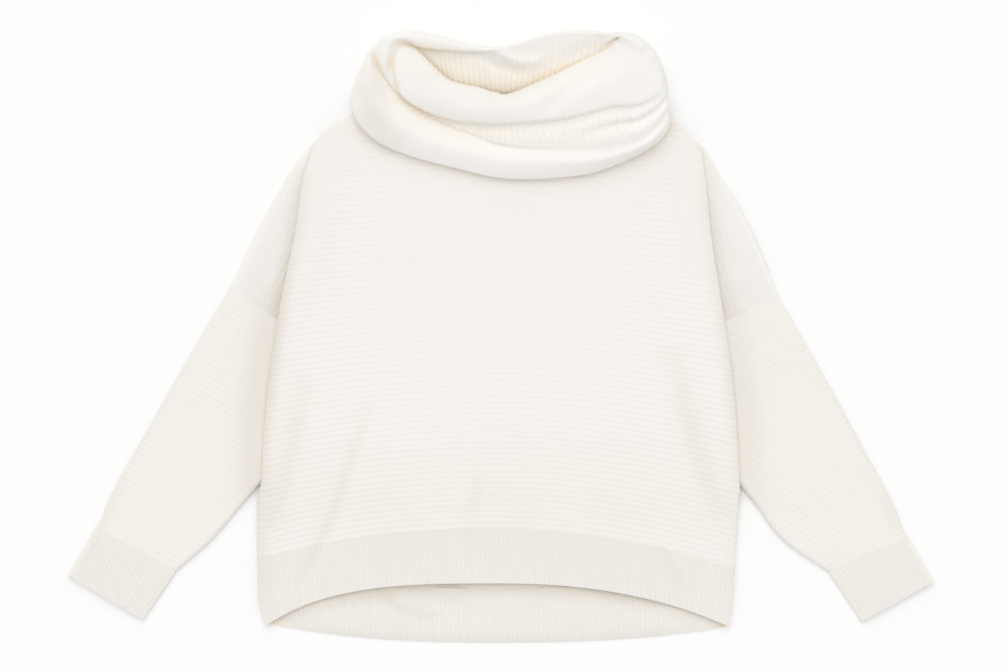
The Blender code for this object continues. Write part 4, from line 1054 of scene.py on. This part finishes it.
def make_cuff(name):
    plan = SLEEVE_PLAN[name]
    wall = Wall()
    seam, end = (np.array(plan[key], float) for key in ("cuff_seam", "cuff_end"))
    down = (end[0] - seam[0]) / np.linalg.norm(end[0] - seam[0])

    def edges(t):
        return lerp(seam[:, None], end[:, None], t[:, None]) + SEAM_GAP * down

    t = np.linspace(0, 1, 15)
    smooth = across_tube(*edges(t), tube_section(RIB_POINTS * CUFF_RIBS + 2, CUFF_TOP))
    columns = smooth.shape[1]
    side = np.minimum(np.arange(columns), np.arange(columns)[::-1])
    phase = (np.arange(columns) - SIDE_COLUMNS) / RIB_POINTS
    on_top = smoothstep(1.0, SIDE_COLUMNS + 2.0, side)
    raised = RIB_HEIGHT * (1 + rib_profile(phase)) * on_top
    outer = smooth.copy()
    outer[..., 2] += raised + 0.3 * np.sin(np.pi * t)[:, None] * on_top
    outer[:, (0, -1), 2] = 0.0
    stitches = grid_of(phase * BAND_RIB, t[:, None] * CUFF_DEPTH)
    ends = edges(t[[0, -1]])
    under = across_tube(*ends, UNDER_SECTION)
    inside = across_tube(*ends, tube_section(60, CUFF_TOP, BAND_WALL))
    tube(wall, outer, stitches, under, inside)
    return wall.make("cuff_" + name, band_knit)


# ---------------------------------------------------------------------------- collar


def collar_base(x, y):
    """Height of what the collar lies on: the surface, or the front panel."""
    return COLLAR_BASE * smoothstep(-14.0, 4.0, shoulder_y(x) - y)


def collar_sections():
    """Every section's points, a row for each section and a column for each of the rings
    from the seam (0) over those of COLLAR_SECTIONS to the two that are tucked in."""
    turn = np.radians([row[0] for row in COLLAR_SECTIONS])
    sections = np.zeros((len(turn), 14, 3))
    spread = np.stack([np.cos(turn), np.sin(turn)], axis=1)
    sections[:, 0, :2] = np.array(NECK_CENTRE) + spread * NECK_RADII
    sections[:, 0, 2] = lerp(COLLAR_SEAM[0], COLLAR_SEAM[1], smoothstep(0.15, 0.7, spread[:, 1]))
    sections[:, 1:12] = [row[1:] for row in COLLAR_SECTIONS]
    edge = sections[:, 11, :2]
    inwards = sections[:, 1, :2] - edge
    inwards /= np.linalg.norm(inwards, axis=1, keepdims=True)
    for ring, inset in zip((12, 13), TUCK_IN):
        place = edge + inset * inwards
        sections[:, ring, :2] = place
        sections[:, ring, 2] = collar_base(place[:, 0], place[:, 1])
    return sections


def soften(grid, passes):
    """The grid with its small wiggles evened out, its first and last rows kept."""
    for _ in range(passes):
        grid = (np.roll(grid, 1, axis=1) + 2 * grid + np.roll(grid, -1, axis=1)) / 4
        grid[1:-1] = (grid[:-2] + 2 * grid[1:-1] + grid[2:]) / 4
    return grid


def collar_surface(turns, steps):
    """The collar's outer side at these places round it, in sections, and at these steps
    along each section, in rings."""
    grid = catmull_rom(collar_sections(), turns, closed=True)
    grid = np.stack([catmull_rom(column, steps) for column in grid])
    for depth, half_width, points in COLLAR_FOLDS:
        share = fold_share(points, half_width, grid[..., 0], grid[..., 1])
        on_top = smoothstep(1.0, 2.0, steps) * (1 - smoothstep(10.3, 11.0, steps))
        grid[..., 2] -= depth * share * on_top[None, :]
    floor = collar_base(grid[..., 0], grid[..., 1])
    low = (steps > 11)[None, :] & (grid[..., 2] < floor)
    grid[..., 2] = np.where(low, floor, grid[..., 2])
    return grid.transpose(1, 0, 2)


def even_turns(count):
    """Places round the collar, in sections, with even spaces between them."""
    fine = np.linspace(0, len(COLLAR_SECTIONS), 1201)
    rings = catmull_rom(collar_sections(), fine, closed=True)
    reach = sum(distances(rings[:, ring]) for ring in (2, 4, 9, 10))
    return np.interp(np.arange(count) * reach[-1] / count, reach, fine)


def make_collar():
    wall = Wall()
    steps = np.concatenate([np.linspace(a, b, count + 1)[:-1] for a, b, count in COLLAR_STEPS]
                           + [[13.0]])
    turns = even_turns(COLLAR_POINTS * COLLAR_RIBS)
    smooth = soften(collar_surface(turns, steps), 4)
    facing = upward(normals(smooth, closed=True), int(np.argmin(abs(steps - 10))), 0)
    space = np.linalg.norm(np.roll(smooth, -3, axis=1) - np.roll(smooth, 3, axis=1), axis=2)
    shares = np.array(COLLAR_RIB_SHARE)
    at_front, at_back = (np.interp(steps, shares[:, 0], shares[:, k]) for k in (1, 2))
    back = np.interp(turns, *np.transpose(COLLAR_BACK))
    amount = lerp(at_front[:, None], at_back[:, None], back)
    raised = RIB_HEIGHT * rib_profile(np.arange(len(turns)) / COLLAR_POINTS)
    raised = raised * np.clip(space / COLLAR_RIB, 0, 1) ** 2
    raised = raised * lerp(1.0, 0.35, smoothstep(-95.0, -130.0, smooth[..., 0]))
    outer = smooth + facing * (amount * raised)[..., None]
    across_mm = np.arange(len(turns) + 1) / COLLAR_POINTS * COLLAR_RIB
    stitches = grid_of(across_mm, distances(smooth[:, 0])[:, None])
    plain = collar_surface(even_turns(120), np.linspace(0, 13, 40))
    inner = plain - COLLAR_WALL * upward(normals(plain, closed=True), 31, 0)
    outer_ids = wall.grid(outer, stitches, closed=True)
    inner_ids = wall.grid(inner, closed=True)
    wall.strip(outer_ids[0], inner_ids[0], closed=True)
    wall.strip(outer_ids[-1], inner_ids[-1], closed=True)
    return wall.make("collar", collar_knit)


# ----------------------------------------------------------------------------- pieces

back = make_back()
back_band = make_back_band()
front = make_front()
front_band = make_front_band()
sleeves = {name: make_sleeve(name) for name in ("left", "right")}
cuffs = {name: make_cuff(name) for name in ("left", "right")}
collar = make_collar()


def sphere(count):
    """Directions spread evenly over a sphere."""
    z = 1 - (2 * np.arange(count) + 1) / count
    turn = np.pi * (1 + 5 ** 0.5) * np.arange(count)
    flat = np.sqrt(1 - z ** 2)
    return np.stack([flat * np.cos(turn), flat * np.sin(turn), z], axis=1)


def blocked_share(places, facing, trees, reach=0.05):
    """How much of the sky over each place is behind knit closer than reach."""
    ways = sphere(24)[None] + 1.02 * facing[:, None]
    starts = places + 0.0008 * facing
    shares = []
    for start, fan in zip(starts.tolist(), ways.tolist()):
        hits = sum(any(tree.ray_cast(start, way, reach)[0] for tree in trees) for way in fan)
        shares.append(hits / len(fan))
    return np.array(shares)


def spread_grid(found, rows, columns, shape):
    """A coarse grid's values at every place of the grid that it was picked from."""
    wide = np.stack([np.interp(np.arange(shape[1]), columns, row) for row in found])
    return np.stack([np.interp(np.arange(shape[0]), rows, column) for column in wide.T], axis=1)


def paint_shade(piece, others):
    """Gives each point of a piece two amounts of painted shade: one by how deep it lies between
    folds of the others, the other by how near beside a fold or edge it lies."""
    mesh = piece.data
    places, facing = np.zeros((2, len(mesh.vertices) * 3))
    mesh.vertices.foreach_get("co", places)
    mesh.vertex_normals.foreach_get("vector", facing)
    places, facing = places.reshape(-1, 3), facing.reshape(-1, 3)
    graph = bpy.context.evaluated_depsgraph_get()
    trees = [BVHTree.FromObject(other, graph) for other in others]
    hollow_shade, beside = np.zeros((2, len(places)))
    for numbers in SHOWN[piece.name]:
        rows, columns = (np.unique(np.linspace(2, n - 3, max(8, n // k)).astype(int))
                         for n, k in zip(numbers.shape, (5, 6)))
        picked = numbers[np.ix_(rows, columns)]
        found = blocked_share(places[picked.ravel()], facing[picked.ravel()], trees)
        found = spread_grid(found.reshape(picked.shape), rows, columns, numbers.shape)
        # Painted shade by how much of the sky over each place nearby knit hides.
        hollow_shade[numbers] = np.clip(1.8 * (found - 0.22), 0, 1)
    x, y = (places[:, :2] / MM - CENTRING).T
    tones = {"hollow_shade": hollow_shade, "painted_fold_shade": beside}
    own_tone, own_places = OWN_PAINTED_SHADES.get(piece.name, ("painted_fold_shade", ()))
    creases = [row[2:] for row in BODY_CREASES]
    for tone, table in (("painted_fold_shade", (*PAINTED_FOLD_SHADE_LINES, *creases)), (own_tone, own_places)):
        for amount, half_width, points in table:
            tones[tone] += amount * fold_share(points, half_width, x, y)
    for tone, values in tones.items():
        layer = mesh.attributes.new(tone, "FLOAT", "POINT")
        layer.data.foreach_set("value", np.minimum(values, 1))


bpy.context.view_layer.update()
for piece in (back, back_band, front, front_band, *sleeves.values(), *cuffs.values(), collar):
    near = {front: [front, collar], back_band: [front_band]}.get(piece, [piece, front])
    paint_shade(piece, near)

# ------------------------------------------------------------------ floor, light, camera

FLOOR_REACH = 15.0         # metres, so that low views see no edge of it
FLOOR_Z = -0.0002
CAMERA_HEIGHT = 3.5        # metres above the front panel
FRAME_WIDTH = 1.2096       # what the picture takes in across, at the front panel's height

floor_mesh = bpy.data.meshes.new("floor")
floor_mesh.from_pydata([(x * FLOOR_REACH, y * FLOOR_REACH, FLOOR_Z)
                        for x, y in ((-1, -1), (1, -1), (1, 1), (-1, 1))], [], [(0, 1, 2, 3)])
floor = bpy.data.objects.new("floor", floor_mesh)
bpy.context.collection.objects.link(floor)
paper = bpy.data.materials.new("paper")
paper.use_nodes = True
shader = paper.node_tree.nodes["Principled BSDF"]
shader.inputs["Base Color"].default_value = (0.97, 0.97, 0.97, 1)
shader.inputs["Roughness"].default_value = 0.8
floor_mesh.materials.append(paper)

world = bpy.data.worlds.new("studio")
world.use_nodes = True
background = world.node_tree.nodes["Background"]
background.inputs["Color"].default_value = (1.0, 1.0, 1.0, 1)
background.inputs["Strength"].default_value = 0.80
bpy.context.scene.world = world

softbox = bpy.data.lights.new("overhead_softbox", "SUN")
softbox.energy = 0.80
softbox.angle = np.radians(60.0)
lamp = bpy.data.objects.new("overhead_softbox", softbox)
lamp.rotation_euler = (np.radians(-31.0), 0.0, np.radians(8.0))
bpy.context.collection.objects.link(lamp)

camera = bpy.data.objects.new("camera", bpy.data.cameras.new("camera"))
camera.location = (0.0038, -0.0007, CAMERA_HEIGHT + PANEL_TOP * MM)
camera.data.sensor_width = 36.0
camera.data.lens = 36.0 * CAMERA_HEIGHT / FRAME_WIDTH
camera.data.clip_end = 50.0
bpy.context.collection.objects.link(camera)
bpy.context.scene.camera = camera
bpy.context.scene.view_settings.view_transform = "Standard"
